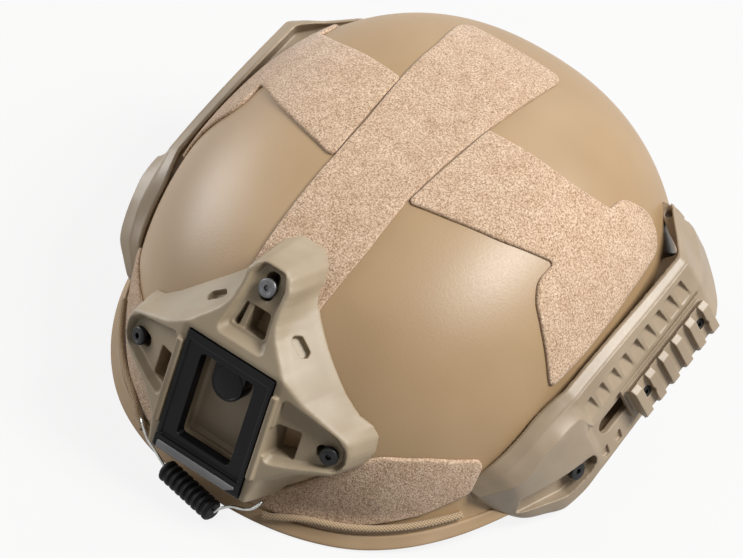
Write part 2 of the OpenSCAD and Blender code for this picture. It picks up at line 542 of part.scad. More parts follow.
module clamp_left() color(steel) stand() on_rail() for (k = [0, teeth - 2])
  translate([rail_rest - 1 + tooth_pitch - tooth_gap / 2 + k * tooth_pitch, 0, -5.4]) difference() {
    translate([-5, -7.4, 0]) cube([10, 14.8, 1.9]);
    translate([0, 0, -1]) cylinder(d = 3.3, h = 4, $fn = 20);
  }

// bungee cords in the step over the brim, each from a wire hook at the front to the tip of a rail
module bungee(first, bend) stand()
    cord([for (i = [0:28]) let (a = mix(first, 53, i / 28), dz = 7.6 - 0.03 * pow(max(0, bend - a), 2))
    brim(a, dz, cord_d / 2 + 0.4 + 1.42 * max(0, min(1, (8 - dz) / 2.4)))], cord_d);
module bungee_left() color(shell_tan) bungee(11, 23);
module bungee_right() color(shell_tan) mirror([1, 0, 0]) bungee(19, 31);
// ribbed sleeve that hangs between the hooks in front of the brim
sleeve_l = 32;
brim_front = -reach_f / cos(lean);
module bungee_sleeve() color(black) level() translate([-5.3, brim_front - 15.5, 1.1]) rotate([0, 0, -10.8])
    rotate([0, 90, 0]) {
  for (k = [-4:4]) translate([0, 0, k * 3.6]) cylinder(d = 10.4, h = 2.2, center = true, $fn = 28);
  cylinder(d = 8, h = sleeve_l, center = true, $fn = 28);
}
module wire_hook_left() color(steel) level() translate([0, brim_front, 0])
  cord([[11, -18.6, 1], [12.6, -17.9, 3], [15, -16.1, 7.6], [19, -13.3, 7], [23, -10.9, 4.8],
      [27, -10.1, 9.6], [27.4, -9.3, 12], [27.4, -8.1, 10.4], [27.4, -7.4, 5], [27.4, -7.2, 1]],
      wire_d, [0.2, 1, 0.1]);
module wire_hook_right() color(steel) level() translate([0, brim_front, 0])
  cord([[-21.6, -12.4, 1], [-24.6, -11.8, 2.6], [-29, -10.7, 5], [-33.4, -9.3, 5.6],
      [-37, -7.9, 7.6], [-40.6, -5.5, 9.6], [-43.4, -3.5, 8.6], [-44.6, -2.5, 5], [-44.8, -2.2, 1]],
      wire_d, [0.2, 1, 0.1]);

// impact foam and comfort pads
foam_o = -wall - 0.6;
foam_i = foam_o - foam_t;
pad_o = foam_i - seat_gap;
module liner_crown() color(black) stand() difference() {
  slab([for (i = [0:12]) [for (j = [0:10]) onto([-46 + 92 * i / 12, -52 + 104 * j / 10, 130], foam_o)]],
    [for (i = [0:12]) [for (j = [0:10]) onto([-46 + 92 * i / 12, -52 + 104 * j / 10, 130], foam_i)]]);
  for (x = [-24, 24], y = [-26, 26]) translate([x, y, 90]) cylinder(d = 12, h = 60, $fn = 24);
}
module liner_front() color(black) stand() difference() {
  under(-44, 44, 26, 54, foam_o, foam_i, 18, 6);
  for (s = [-1, 0, 1]) mount_hole(s) translate([0, 0, -12]) cylinder(d = 14, h = 20, center = true,
      $fn = 24);
}
module liner_rear() color(black) stand() under(134, 226, 14, 58, foam_o, foam_i, 18, 8);
module liner_left() color(black) stand() under(48, 112, 24, 56, foam_o, foam_i, 13, 6);
module liner_right() color(black) mirror([1, 0, 0]) stand() under(48, 112, 24, 56, foam_o, foam_i, 13, 6);
module pad_crown() color(black) stand()
  slab([for (i = [0:10]) [for (j = [0:10]) onto([-34 + 68 * i / 10, -38 + 76 * j / 10, 130], pad_o)]],
    [for (i = [0:10]) [for (j = [0:10]) onto([-34 + 68 * i / 10, -38 + 76 * j / 10, 130],
      pad_o - pad_t * 0.45 - pad_t * 0.55 * (1 - pow(i / 5 - 1, 4)) * (1 - pow(j / 5 - 1, 4)))]]);
module pad_front() color(black) stand() under(-32, 32, 30, 50, pad_o, pad_o - pad_t * 0.45, 16, 5,
    pad_t * 0.55);
module pad_rear() color(black) stand() under(146, 214, 22, 50, pad_o, pad_o - pad_t * 0.45, 17, 7,
    pad_t * 0.55);
module pad_left() color(black) stand() under(60, 108, 28, 52, pad_o, pad_o - pad_t * 0.45, 12, 6,
    pad_t * 0.55);
module pad_right() color(black) mirror([1, 0, 0]) stand() under(60, 108, 28, 52, pad_o,
    pad_o - pad_t * 0.45, 12, 6, pad_t * 0.55);

// headband with the nape cradle and its dial
band_o = foam_i - 0.6;
module headband() color(black) stand() {
  n = 40;
  loft([for (i = [0:n]) let (a = -142 + 284 * i / n, z = 46 - 24 * pow(sin(abs(a) * 0.634), 2),
      tab = 14 * pow(max(0, cos(a * 2.2)), 4) * (abs(a) < 40 ? 1 : 0))
    [surf(a, z - 9, band_o), surf(a, z - 9, band_o - 1.6), surf(a, z + 9 + tab, band_o - 1.6),
        surf(a, z + 9 + tab, band_o)]]);
}
module nape_cradle() color(black) stand() {
  n = 16;
  loft([for (i = [0:n]) let (a = 140 + 80 * i / n, d = abs(a - 180) / 40)
    [surf(a, 12 + 8 * d, band_o - 2.1), surf(a, -16 + 20 * d, band_o - 2.1),
        surf(a, -16 + 20 * d, band_o - 4.1), surf(a, 12 + 8 * d, band_o - 4.1)]]);
}
module nape_pad() color(black) stand() {
  slab([for (i = [0:10]) [for (j = [0:6]) surf(150 + 6 * i, -12 + 20 * j / 6, band_o - 4.4)]],
    [for (i = [0:10]) [for (j = [0:6]) surf(150 + 6 * i, -12 + 20 * j / 6,
        band_o - 7 - 4 * (1 - pow(i / 5 - 1, 4)) * (1 - pow(j / 3 - 1, 4)))]]);
}
dial_y = reach_r + band_o - 1.8;
housing_t = 2.2;
knob_h = 7.2;
module dial_housing() color(black) stand() translate([0, dial_y, -4]) rotate([-90, 0, 0]) difference() {
  union() {
    cylinder(d = knob_d + 5, h = housing_t, $fn = 48);
    translate([-28, -7, 0]) cube([56, 14, housing_t]);
  }
  translate([0, 0, 0.6]) cylinder(d = 5, h = 8, $fn = 24);
}
module dial_knob() color(black) stand() translate([0, dial_y + housing_t + 0.3, -4]) rotate([-90, 0, 0]) {
  cylinder(d = knob_d - 2, h = knob_h, $fn = 48);
  for (k = [0:knob_ribs - 1]) rotate([0, 0, 360 * k / knob_ribs]) translate([knob_d / 2 - 1, 0, 0])
      cylinder(d = 2.4, h = knob_h - 0.5, $fn = 12);
  translate([0, 0, -1.4]) cylinder(d = 4.4, h = 2, $fn = 24);
}

// harness tabs under the rail nuts, webbing and chin buckle
// height of the harness tabs over the points on the wall they hang from
tab_lift = 1.5;
front_in = front_hole - rail_way([0, 0, 1]) * front_wall;
rear_in = rear_hole - rear_axis * rear_wall;
// a point of the dome's frame in the upright frame
function upright(v) = [v[0], v[1] * cos(lean) - v[2] * sin(lean), v[1] * sin(lean) + v[2] * cos(lean)];
// frame on the inner wall at v with Z into the bowl
module inside(v) let (d = -nd(v)) translate(v) rotate([0, acos(d[2]), atan2(d[1], d[0])]) children();
module strap_tab(v, turn) inside(v) rotate([0, 0, turn]) translate([0, 0, tab_lift]) difference() {
  union() {
    cylinder(d = 18, h = 1.6, $fn = 32);
    translate([0, -9, 0]) cube([13, 18, 1.6]);
  }
  translate([0, 0, -1]) cylinder(d = 6.6, h = 4, $fn = 20);
  translate([8, -7.4, -1]) cube([2.6, 14.8, 4]);
}
module strap_tabs() color(black) both() stand() {
  strap_tab(front_in, -75);
  strap_tab(rear_in, 45);
}
// where the side webbing leaves the tabs
front_web = upright(front_in) + [-2.4, 12.4, -3.2];
rear_web = upright(rear_in) + [-1.1, -7.5, -11.1];
ear_x = front_web[0] - 5;
ear_y = -10;
ear_z = 17;
module side_web() level() {
  band([front_web, [ear_x + 2.4, -26.6, 15], [ear_x, -24.4, 15.6], [ear_x, -22.4, 15.6]],
      [for (i = [0:3]) [1, i > 1 ? 0 : -0.3, 0]], web_w - 2, web_t);
  rear_end = [ear_x, 8, 20];
  band([rear_web, mix(rear_web, rear_end, 0.2) - [0.8, 0, 1.9], mix(rear_web, rear_end, 0.54) - [0.9, 0, 1],
      mix(rear_web, rear_end, 0.83), rear_end, [ear_x, 0.4, 20]],
    [[0.9, 0.45, 0.1], [0.92, 0.4, 0.1], [0.96, 0.3, 0], [1, 0.2, 0], [1, 0, 0], [1, 0, 0]], web_w - 2,
        web_t);
}
module strap_left() color(black) side_web();
module strap_right() color(black) mirror([1, 0, 0]) side_web();
module slider() level() translate([ear_x, ear_y, ear_z]) difference() {
  translate([-1.5, -12, -10]) cube([3, 22, 20]);
  translate([-5, -9, -7]) cube([10, 3, 14]);
  translate([-5, 4, -7]) cube([10, 3, 14]);
}
module slider_left() color(black) slider();
module slider_right() color(black) mirror([1, 0, 0]) slider();
// chin strap laid across the opening, with its buckle and cup
module chin_web(p) level() band(p, [for (i = [0:len(p) - 1]) i == 0 ? [1, 0, 0.2] : i == 1 ? [1, 0, 0.7]
    : i == 2 ? [0.3, 0, 1] : [0, 0, 1]], web_w, web_t);
buckle_x = 42;
chin_y = -11;
chin_h = 4;
// the webbing runs in a channel under the plug, so that the plug slides along it
web_low = 0.6;
module chin_strap_left() color(black)
  chin_web([[ear_x, chin_y, 6.6], [ear_x - 1.4, chin_y, 3.4], [ear_x - 6, chin_y, 1], [84, chin_y, 0.6],
      [70, chin_y, 2.4], [buckle_x + 16.4, chin_y, chin_h]]);
module chin_strap_right() color(black) mirror([1, 0, 0])
  chin_web([[ear_x, chin_y, 6.6], [ear_x - 1.4, chin_y, 3.4], [ear_x - 6, chin_y, 1], [84, chin_y, 0.6],
      [70, chin_y, 2.4], [50, chin_y, chin_h], [0, chin_y, chin_h], [-4, chin_y, chin_h - 0.6],
      [-12, chin_y, web_low + 0.4], [-15, chin_y, web_low], [-buckle_x + 5.4, chin_y, web_low]]);
module buckle_socket() color(black) level() translate([buckle_x, chin_y, chin_h]) difference() {
  translate([-4, -12.5, -4]) cube([20, 25, 8]);
  translate([-5, -10, -2.2]) cube([14, 20, 4.4]);
}
module buckle_plug() color(black) level() translate([buckle_x, chin_y, 0]) difference() {
  union() {
    translate([-14, -12, web_low - 2.2]) cube([9.6, 24, chin_h + 3 - web_low + 2.2]);
    for (s = [-1, 1]) translate([-5, s * 7.6 - 1.6, chin_h - 1.8]) cube([12.6, 3.2, 3.6]);
    translate([-5, -2, chin_h - 1.2]) cube([12, 4, 2.4]);
  }
  translate([-20, -web_w / 2 - 0.6, web_low - web_t / 2 - 0.4]) cube([20, web_w + 1.2, web_t + 0.8]);
}
module chin_cup() color(black) level() translate([-25, chin_y, chin_h - 4]) difference() {
  translate([-25, -15, 0]) cube([50, 30, 2.6]);
  for (s = [-1, 1]) translate([s * 18 - 1.5, -10, -1]) cube([3, 20, 5]);
}

shell();
edge_trim();
loop_crown();
loop_side_left();
loop_side_right();
loop_brow_left();
loop_brow_right();
loop_nape();
shroud_body();
shroud_insert();
insert_boss();
shroud_screw_top();
shroud_screws_lower();
shroud_nuts();
rail_left();
rail_right();
rail_screws();
rail_nuts();
adapter_left();
adapter_screws_left();
clamp_left();
bungee_left();
bungee_right();
bungee_sleeve();
wire_hook_left();
wire_hook_right();
liner_crown();
liner_front();
liner_rear();
liner_left();
liner_right();
pad_crown();
pad_front();
pad_rear();
pad_left();
pad_right();
headband();
nape_cradle();
nape_pad();
dial_housing();
dial_knob();
strap_tabs();
strap_left();
strap_right();
slider_left();
slider_right();
chin_strap_left();
chin_strap_right();
buckle_socket();
buckle_plug();
chin_cup();
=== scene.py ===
"""High cut bump helmet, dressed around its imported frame.

The dome's formulas and the frames of the front mount and the side rails are the ones that the frame
was built with, so each piece is modelled in millimetres where it belongs and turned into the row frame
in metres at the end.
"""

import json
import logging
import math
from dataclasses import dataclass
from enum import Enum
from math import radians
from typing import Callable, Sequence

import bmesh
import bpy
import numpy as np
from mathutils import Matrix, Vector, bvhtree, kdtree, noise
from mathutils.geometry import delaunay_2d_cdt

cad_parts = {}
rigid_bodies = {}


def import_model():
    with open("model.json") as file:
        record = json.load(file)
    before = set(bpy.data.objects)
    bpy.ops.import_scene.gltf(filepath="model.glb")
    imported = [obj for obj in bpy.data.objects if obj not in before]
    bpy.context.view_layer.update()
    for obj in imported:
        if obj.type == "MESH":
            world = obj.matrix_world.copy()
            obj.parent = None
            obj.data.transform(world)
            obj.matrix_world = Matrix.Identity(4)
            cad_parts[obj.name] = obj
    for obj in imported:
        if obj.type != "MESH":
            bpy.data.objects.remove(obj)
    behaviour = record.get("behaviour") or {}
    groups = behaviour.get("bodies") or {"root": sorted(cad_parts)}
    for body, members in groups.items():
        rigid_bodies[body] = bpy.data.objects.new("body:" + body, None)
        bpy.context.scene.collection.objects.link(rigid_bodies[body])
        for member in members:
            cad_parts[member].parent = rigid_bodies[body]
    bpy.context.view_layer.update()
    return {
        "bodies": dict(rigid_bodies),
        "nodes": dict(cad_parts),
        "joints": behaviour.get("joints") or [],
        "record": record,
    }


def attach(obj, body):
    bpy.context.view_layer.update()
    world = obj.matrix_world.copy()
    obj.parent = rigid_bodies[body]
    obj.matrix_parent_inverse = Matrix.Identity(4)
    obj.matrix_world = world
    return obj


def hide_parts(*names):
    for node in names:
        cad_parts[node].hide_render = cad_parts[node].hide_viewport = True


LOG = logging.getLogger("helmet")
MM = 0.001
HELMET = "helmet"
Array = np.ndarray


class Side(Enum):
    """The two sides of the helmet, by the sign of their X."""

    LEFT = 1
    RIGHT = -1


class Boolean(Enum):
    """Ways of joining one solid with others."""

    UNION = "UNION"
    CUT = "DIFFERENCE"
    COMMON = "INTERSECT"


# Small helpers


def linear(code: str) -> tuple[float, float, float, float]:
    """Turns an sRGB hex value into a linear colour.

    Args:
        code: The colour as "#rrggbb".

    Returns:
        Red, green, blue and an alpha of 1.
    """
    parts = [int(code[i:i + 2], 16) / 255 for i in (1, 3, 5)]
    flat = [c / 12.92 if c <= 0.04045 else ((c + 0.055) / 1.055) ** 2.4 for c in parts]
    return (flat[0], flat[1], flat[2], 1.0)


def add_node(tree: bpy.types.NodeTree, kind: str, values: dict | None = None,
             links: dict | None = None, **settings) -> bpy.types.Node:
    """Adds a node with its settings, socket values and links.

    Args:
        tree: The node tree.
        kind: The node's type name.
        values: Socket name or number to value.
        links: Socket name or number to the socket that feeds it.
        **settings: Attributes of the node.

    Returns:
        The new node.
    """
    node = tree.nodes.new(kind)
    for key, value in settings.items():
        setattr(node, key, value)
    for key, value in (values or {}).items():
        node.inputs[key].default_value = value
    for key, source in (links or {}).items():
        tree.links.new(source, node.inputs[key])
    return node


def per_mm(size: float) -> float:
    """Returns the texture scale of a feature in object space, which is in metres.

    Args:
        size: Size of the feature in mm.

    Returns:
        The scale.
    """
    return 1 / (size * MM)


def catmull(a: Array, b: Array, c: Array, d: Array, t: Array) -> Array:
    """Returns points between b and c on a Catmull-Rom curve through a, b, c and d.

    Args:
        a: The point before.
        b: The start.
        c: The end.
        d: The point after.
        t: Shares of the way from b to c.

    Returns:
        The points.
    """
    return b + 0.5 * t * (c - a + t * (2 * a - 5 * b + 4 * c - d + t * (3 * (b - c) + d - a)))


# The dome and the frames on it


@dataclass(frozen=True)
class Dome:
    """The shell's outer face as formulas, in its own frame, in mm.

    The plan is a superellipse with one reach to the front and another to the rear, and the profile
    over it is a second superellipse. Near the rim the brim flares out and the nape tucks in.
    """

    half_width: float = 114.7
    reach_front: float = 140.4
    reach_rear: float = 118.6
    height: float = 137.5
    wall: float = 3.0
    lean: float = 12.0
    shift_y: float = 24.3
    lift: float = 4.6
    plan_power: float = 2.24
    profile_power: float = 2.75
    brim_flare: float = 7.0
    brim_height: float = 15.0
    trim_wall: float = 1.1
    tuck: float = 8.0
    rim_rise: tuple[float, ...] = (0, 0, 0, 0.6, 3, 6.5, 10, 12, 14, 20, 34, 46, 50, 40, 18, 5, 2.7, 2.9, 3)
    flare_share: tuple[float, ...] = (1, 1, 1, 1, 0.95, 0.85, 0.7, 0.5, 0.3, 0.2, 0.15, 0.1, 0.1, 0.1, 0.15,
                                      0.2, 0.2, 0.2, 0.2)

    def row_matrix(self) -> Matrix:
        """Returns the matrix from the dome's frame to the row frame, both in mm."""
        place = Matrix.Translation((0, self.shift_y, self.lift))
        return place @ Matrix.Rotation(radians(self.lean), 4, "X")

    def level_matrix(self) -> Matrix:
        """Returns the matrix of the upright frame at the dome's origin."""
        return Matrix.Translation((0, self.shift_y, self.lift))

    def _per_ten(self, values: Sequence[float], angle: Array) -> Array:
        """Reads a list given for every ten degrees at any angle, smoothly.

        Args:
            values: Readings at 0, 10 and so on to 180 degrees.
            angle: Plan angles in degrees.

        Returns:
            The readings at the angles.
        """
        listed = np.array(values, float)
        share = np.minimum(np.abs(angle), 180) / 10
        i = np.minimum(np.floor(share).astype(int), 17)
        t = share - i
        a, b = listed[np.maximum(i - 1, 0)], listed[i]
        c, d = listed[i + 1], listed[np.minimum(i + 2, 18)]
        return catmull(a, b, c, d, t)

    def _reach(self, y: Array) -> Array:
        """Returns the reach that goes with a sign of y."""
        return np.where(y < 0, self.reach_front, self.reach_rear)

    def _level(self, p: Array) -> Array:
        """Returns how far out points lie in plan, as shares of the way to the widest level."""
        return ((np.abs(p[..., 0]) / self.half_width) ** self.plan_power
                + (np.abs(p[..., 1]) / self._reach(p[..., 1])) ** self.plan_power) ** (1 / self.plan_power)

    def plan(self, angle: Array) -> Array:
        """Returns the widest level's points at plan angles from the front, positive toward +X.

        Args:
            angle: Plan angles in degrees.

        Returns:
            X and Y of each point.
        """
        a = np.radians(angle)
        power = 2 / self.plan_power
        reach = np.where(np.cos(a) > 0, self.reach_front, self.reach_rear)
        x = self.half_width * np.sign(np.sin(a)) * np.abs(np.sin(a)) ** power
        y = -reach * np.sign(np.cos(a)) * np.abs(np.cos(a)) ** power
        return np.stack([x, y], -1)

    def normal(self, p: Array) -> Array:
        """Returns the outward normals at points of the dome.

        Args:
            p: Points in the dome's frame.

        Returns:
            Unit vectors.
        """
        b = self._reach(p[..., 1])
        gain = np.maximum(self._level(p), 1e-4) ** (self.profile_power - self.plan_power)
        e = self.plan_power - 1
        n = np.stack([
            gain * np.sign(p[..., 0]) * np.abs(p[..., 0]) ** e / self.half_width ** self.plan_power,
            gain * np.sign(p[..., 1]) * np.abs(p[..., 1]) ** e / b ** self.plan_power,
            np.maximum(p[..., 2], 0) ** (self.profile_power - 1) / self.height ** self.profile_power], -1)
        return n / np.maximum(np.linalg.norm(n, axis=-1, keepdims=True), 1e-12)

    def fullness(self, p: Array) -> Array:
        """Returns how far out points lie along their rays, as shares of the way to the dome: 1 on it, less inside."""
        return (self._level(p) ** self.profile_power
                + (np.maximum(p[..., 2], 0) / self.height) ** self.profile_power) ** (1 / self.profile_power)

    def pulled(self, p: Array) -> Array:
        """Pulls any points onto the dome along their ray from its origin."""
        return p / self.fullness(p)[..., None]

    def depth_under(self, frame: Matrix, flat: Array) -> Array:
        """Returns the local Z of the dome under points of a frame that faces away from it.

        Args:
            frame: The local frame in the dome's frame.
            flat: Local X and Y of the points.

        Returns:
            The dome's local Z at each point.
        """
        turn, place = np.array(frame.to_3x3()), np.array(frame.translation)
        low, high = np.full(len(flat), -70.0), np.full(len(flat), 20.0)
        for _ in range(26):
            middle = (low + high) / 2
            out = self.fullness(np.column_stack([flat, middle]) @ turn.T + place) > 1
            low, high = np.where(out, low, middle), np.where(out, middle, high)
        return low

    def rim_z(self, angle: Array) -> Array:
        """Returns the height of the raw rim in the dome's frame at plan angles.

        Args:
            angle: Plan angles in degrees.

        Returns:
            Heights in mm.
        """
        p = self.plan(angle)
        n = self.normal(np.concatenate([p, np.zeros(p.shape[:-1] + (1,))], -1))
        lean = radians(self.lean)
        reach = p[..., 1] * 0.995 + n[..., 1] * (self.flare(angle) + 1.3)
        rise = self._per_ten(self.rim_rise, angle) + self.trim_wall - self.lift
        return (rise - reach * math.sin(lean)) / math.cos(lean)

    def flare(self, angle: Array) -> Array:
        """Returns how far the brim flares out at plan angles."""
        return self.brim_flare * self._per_ten(self.flare_share, angle)

    def lip(self, angle: Array, z: Array) -> Array:
        """Returns the outward push of the brim, less the tuck of the nape, at angles and heights.

        Args:
            angle: Plan angles in degrees.
            z: Heights in mm.

        Returns:
            Distances in mm.
        """
        rise = np.maximum(0, 1 - (z - self.rim_z(angle)) / self.brim_height)
        tucked = self.tuck * np.maximum(0, -np.cos(np.radians(angle))) * (np.maximum(0, 26 - z) / 55) ** 2
        return self.flare(angle) * rise ** 2 - tucked

    def at_height(self, angle: Array, z: Array, offset: Array | float) -> Array:
        """Returns dome points at plan angles and heights, lifted off by an offset.

        Args:
            angle: Plan angles in degrees.
            z: Heights in mm.
            offset: Distance off the face in mm.

        Returns:
            Points in the dome's frame.
        """
        rho = np.where(z <= 0, 1, np.maximum(1 - (np.maximum(z, 0) / self.height) ** self.profile_power, 0)
                       ** (1 / self.profile_power))
        p = self.plan(angle) * rho[..., None]
        s = np.concatenate([p, z[..., None]], -1)
        return s + np.asarray(offset)[..., None] * self.normal(s)

    def at_climb(self, angle: Array, climb: Array, offset: Array | float) -> Array:
        """Returns dome points at plan angles and climbs in degrees, lifted off by an offset.

        Args:
            angle: Plan angles in degrees.
            climb: Climbs in degrees.
            offset: Distance off the face in mm.

        Returns:
            Points in the dome's frame.
        """
        c, s = np.cos(np.radians(climb)), np.sin(np.radians(climb))
        full = (np.abs(c) ** self.profile_power + np.abs(s) ** self.profile_power) ** (1 / self.profile_power)
        p = self.plan(angle) * (c / full)[..., None]
        v = np.concatenate([p, (self.height * s / full)[..., None]], -1)
        return v + np.asarray(offset)[..., None] * self.normal(v)

    def climb_of(self, z: float) -> float:
        """Returns the climb in degrees of a height."""
        rho = (1 - (z / self.height) ** self.profile_power) ** (1 / self.profile_power)
        return math.degrees(math.atan2(z / self.height, rho))

    def brim(self, angle: Array, above: Array, offset: Array | float) -> Array:
        """Returns points at plan angles, at heights above the rim, lifted off the flared face."""
        z = self.rim_z(angle) + above
        return self.at_height(angle, z, offset + self.lip(angle, z))

    def bearing(self, p: Array) -> Array:
        """Returns the plan angles of points.

        Args:
            p: Points in the dome's frame.

        Returns:
            Degrees from the front.
        """
        half = self.plan_power / 2
        x = np.sign(p[..., 0]) * (np.abs(p[..., 0]) / self.half_width) ** half
        y = -np.sign(p[..., 1]) * (np.abs(p[..., 1]) / self._reach(p[..., 1])) ** half
        return np.degrees(np.arctan2(x, y))

    def on_skin(self, p: Array, offset: Array | float) -> Array:
        """Pulls points onto the shell's face, flare and tuck included, and lifts them off it.

        Args:
            p: Points in the dome's frame.
            offset: Distance off the face in mm.

        Returns:
            Points in the dome's frame.
        """
        s = self.pulled(p)
        out = np.asarray(offset) + self.lip(self.bearing(s), s[..., 2])
        return s + out[..., None] * self.normal(s)


DOME = Dome()
TO_ROW = DOME.row_matrix()
LEVEL = DOME.level_matrix()
MOUNT_PLACE, MOUNT_TILT = (0, -142.2, 82.8), 27.4
RAIL_PLACE, RAIL_RISE, RAIL_TILT = (121, -22.3, 40), 12, 16
FRONT_SCREW = (-18.5, -7.4)
ON_DOME = Matrix.Translation(MOUNT_PLACE) @ Matrix.Rotation(radians(90 - MOUNT_TILT), 4, "X")
MOUNT = TO_ROW @ ON_DOME
RAIL = (TO_ROW @ Matrix.Translation(RAIL_PLACE) @ Matrix.Rotation(radians(RAIL_RISE), 4, "X")
        @ Matrix.Rotation(radians(-RAIL_TILT), 4, "Y") @ Matrix.Rotation(radians(90), 4, "Z")
        @ Matrix.Rotation(radians(90), 4, "X"))
FLIP_X = Matrix.Diagonal((-1, 1, 1, 1))


# Finishes


@dataclass(frozen=True)
class Finish:
    """One material of the helmet; each kind builds its own nodes."""

    name: str

    def material(self) -> bpy.types.Material:
        """Returns the finish's material, made once.

        Returns:
            The material.
        """
        found = bpy.data.materials.get(self.name)
        if found:
            return found
        made = bpy.data.materials.new(self.name)
        made.use_nodes = True
        tree = made.node_tree
        tree.nodes.clear()
        out = add_node(tree, "ShaderNodeOutputMaterial")
        shader = add_node(tree, "ShaderNodeBsdfPrincipled")
        tree.links.new(shader.outputs[0], out.inputs[0])
        self.dress(tree, shader)
        return made

    def dress(self, tree: bpy.types.NodeTree, shader: bpy.types.Node) -> None:
        """Sets the shader and adds the finish's nodes."""
        raise NotImplementedError

    @staticmethod
    def mottled(tree: bpy.types.NodeTree, where: bpy.types.NodeSocket, size: float,
                stops: Sequence[tuple[float, str]], detail: float = 2.0) -> bpy.types.Node:
        """Adds a noise of a real size read through a ramp of colours.

        Args:
            tree: The node tree.
            where: The coordinate socket.
            size: Size of the patches in mm.
            stops: Places from 0 to 1 with their colours.
            detail: Octaves of the noise.

        Returns:
            The ramp node.
        """
        cloud = add_node(tree, "ShaderNodeTexNoise", {"Scale": per_mm(size), "Detail": detail}, {"Vector": where})
        ramp = add_node(tree, "ShaderNodeValToRGB", links={0: cloud.outputs[0]})
        ramp.color_ramp.elements[0].position, ramp.color_ramp.elements[-1].position = stops[0][0], stops[-1][0]
        for place, _ in stops[1:-1]:
            ramp.color_ramp.elements.new(place)
        for element, (_, code) in zip(ramp.color_ramp.elements, stops):
            element.color = linear(code)
        return ramp


    @staticmethod
    def grained(tree: bpy.types.NodeTree, shader: bpy.types.Node, where: bpy.types.NodeSocket, size: float,
                low: float, high: float) -> bpy.types.NodeSocket:
        """Varies the roughness with a grain of a real size.

        Args:
            tree: The node tree.
            shader: Its Principled shader.
            where: The coordinate socket.
            size: Size of the grain in mm.
            low: Roughness of the smoothest spots.
            high: Roughness of the roughest spots.

        Returns:
            The grain's socket.
        """
        grain = add_node(tree, "ShaderNodeTexNoise", {"Scale": per_mm(size), "Detail": 2.0}, {"Vector": where})
        rough = add_node(tree, "ShaderNodeMapRange", {"To Min": low, "To Max": high}, {"Value": grain.outputs[0]})
        tree.links.new(rough.outputs[0], shader.inputs["Roughness"])
        return grain.outputs[0]


@dataclass(frozen=True)
class GrainedPaint(Finish):
    """Satin paint sprayed with a fine texture: an even tan with a soft, slightly pebbled sheen."""

    light: str = "#a08563"
    dark: str = "#937856"
    patch: float = 60.0
    grain: float = 1.1
    depth: float = 0.11
    roughness: float = 0.44
    gloss: float = 0.6

    def dress(self, tree: bpy.types.NodeTree, shader: bpy.types.Node) -> None:
        """Sets the paint's colour drift, grain and sheen.

        Args:
            tree: The material's node tree.
            shader: Its Principled shader.
        """
        shader.inputs["Specular IOR Level"].default_value = self.gloss
        where = add_node(tree, "ShaderNodeTexCoord").outputs["Object"]
        drift = self.mottled(tree, where, self.patch, [(0.3, self.dark), (0.7, self.light)])
        tree.links.new(drift.outputs[0], shader.inputs["Base Color"])
        # the sprayed grain is under half a millimetre, drawn at twice that so that it shows
        grain = self.grained(tree, shader, where, self.grain, self.roughness - 0.05, self.roughness + 0.08)
        bump = add_node(tree, "ShaderNodeBump", {"Strength": 0.5, "Distance": self.depth * MM}, {"Height": grain})
        tree.links.new(bump.outputs[0], shader.inputs["Normal"])


@dataclass(frozen=True)
class LoopPile(Finish):
    """Woven loop pile of a hook and loop fastener: matt, pinkish beige, speckled by its tiny shaded loops."""

    tones: tuple[str, ...] = ("#8e735c", "#bda288", "#d8c0a8")
    loop: float = 0.75
    patch: float = 9.0
    depth: float = 0.35

    def dress(self, tree: bpy.types.NodeTree, shader: bpy.types.Node) -> None:
        """Sets the speckle, the pile's bump and its faint sheen.

        Args:
            tree: The material's node tree.
            shader: Its Principled shader.
        """
        where = add_node(tree, "ShaderNodeTexCoord").outputs["Object"]
        speckle = self.mottled(tree, where, self.loop, list(zip((0.33, 0.5, 0.66), self.tones)), 3.0)
        patch = self.mottled(tree, where, self.patch, [(0.3, "#f1ece7"), (0.7, "#ffffff")])
        both = add_node(tree, "ShaderNodeMix", {0: 1.0}, data_type="RGBA", blend_type="MULTIPLY")
        tree.links.new(speckle.outputs[0], both.inputs[6])
        tree.links.new(patch.outputs[0], both.inputs[7])
        tree.links.new(both.outputs[2], shader.inputs["Base Color"])
        pile = add_node(tree, "ShaderNodeTexNoise", {"Scale": per_mm(self.loop * 0.8), "Detail": 3.0},
                        {"Vector": where})
        bump = add_node(tree, "ShaderNodeBump", {"Strength": 0.8, "Distance": self.depth * MM},
                        {"Height": pile.outputs[0]})
        tree.links.new(bump.outputs[0], shader.inputs["Normal"])
        shader.inputs["Roughness"].default_value = 0.95
        shader.inputs["Specular IOR Level"].default_value = 0.15
        shader.inputs["Sheen Weight"].default_value = 0.25
        shader.inputs["Sheen Roughness"].default_value = 0.5


@dataclass(frozen=True)
class MouldedPolymer(Finish):
    """Glass filled nylon from a spark eroded mould: matt to satin with a very fine, even grain."""

    light: str = "#b3a28a"
    dark: str = "#a59379"
    roughness: float = 0.5
    grain: float = 0.7
    depth: float = 0.03
    patch: float = 25.0
    gloss: float = 0.5

    def dress(self, tree: bpy.types.NodeTree, shader: bpy.types.Node) -> None:
        """Sets the polymer's colour drift and mould grain.

        Args:
            tree: The material's node tree.
            shader: Its Principled shader.
        """
        shader.inputs["Specular IOR Level"].default_value = self.gloss
        where = add_node(tree, "ShaderNodeTexCoord").outputs["Object"]
        drift = self.mottled(tree, where, self.patch, [(0.35, self.dark), (0.65, self.light)])
        tree.links.new(drift.outputs[0], shader.inputs["Base Color"])
        grain = self.grained(tree, shader, where, self.grain, self.roughness - 0.06, self.roughness + 0.08)
        bump = add_node(tree, "ShaderNodeBump", {"Strength": 0.4, "Distance": self.depth * MM}, {"Height": grain})
        tree.links.new(bump.outputs[0], shader.inputs["Normal"])


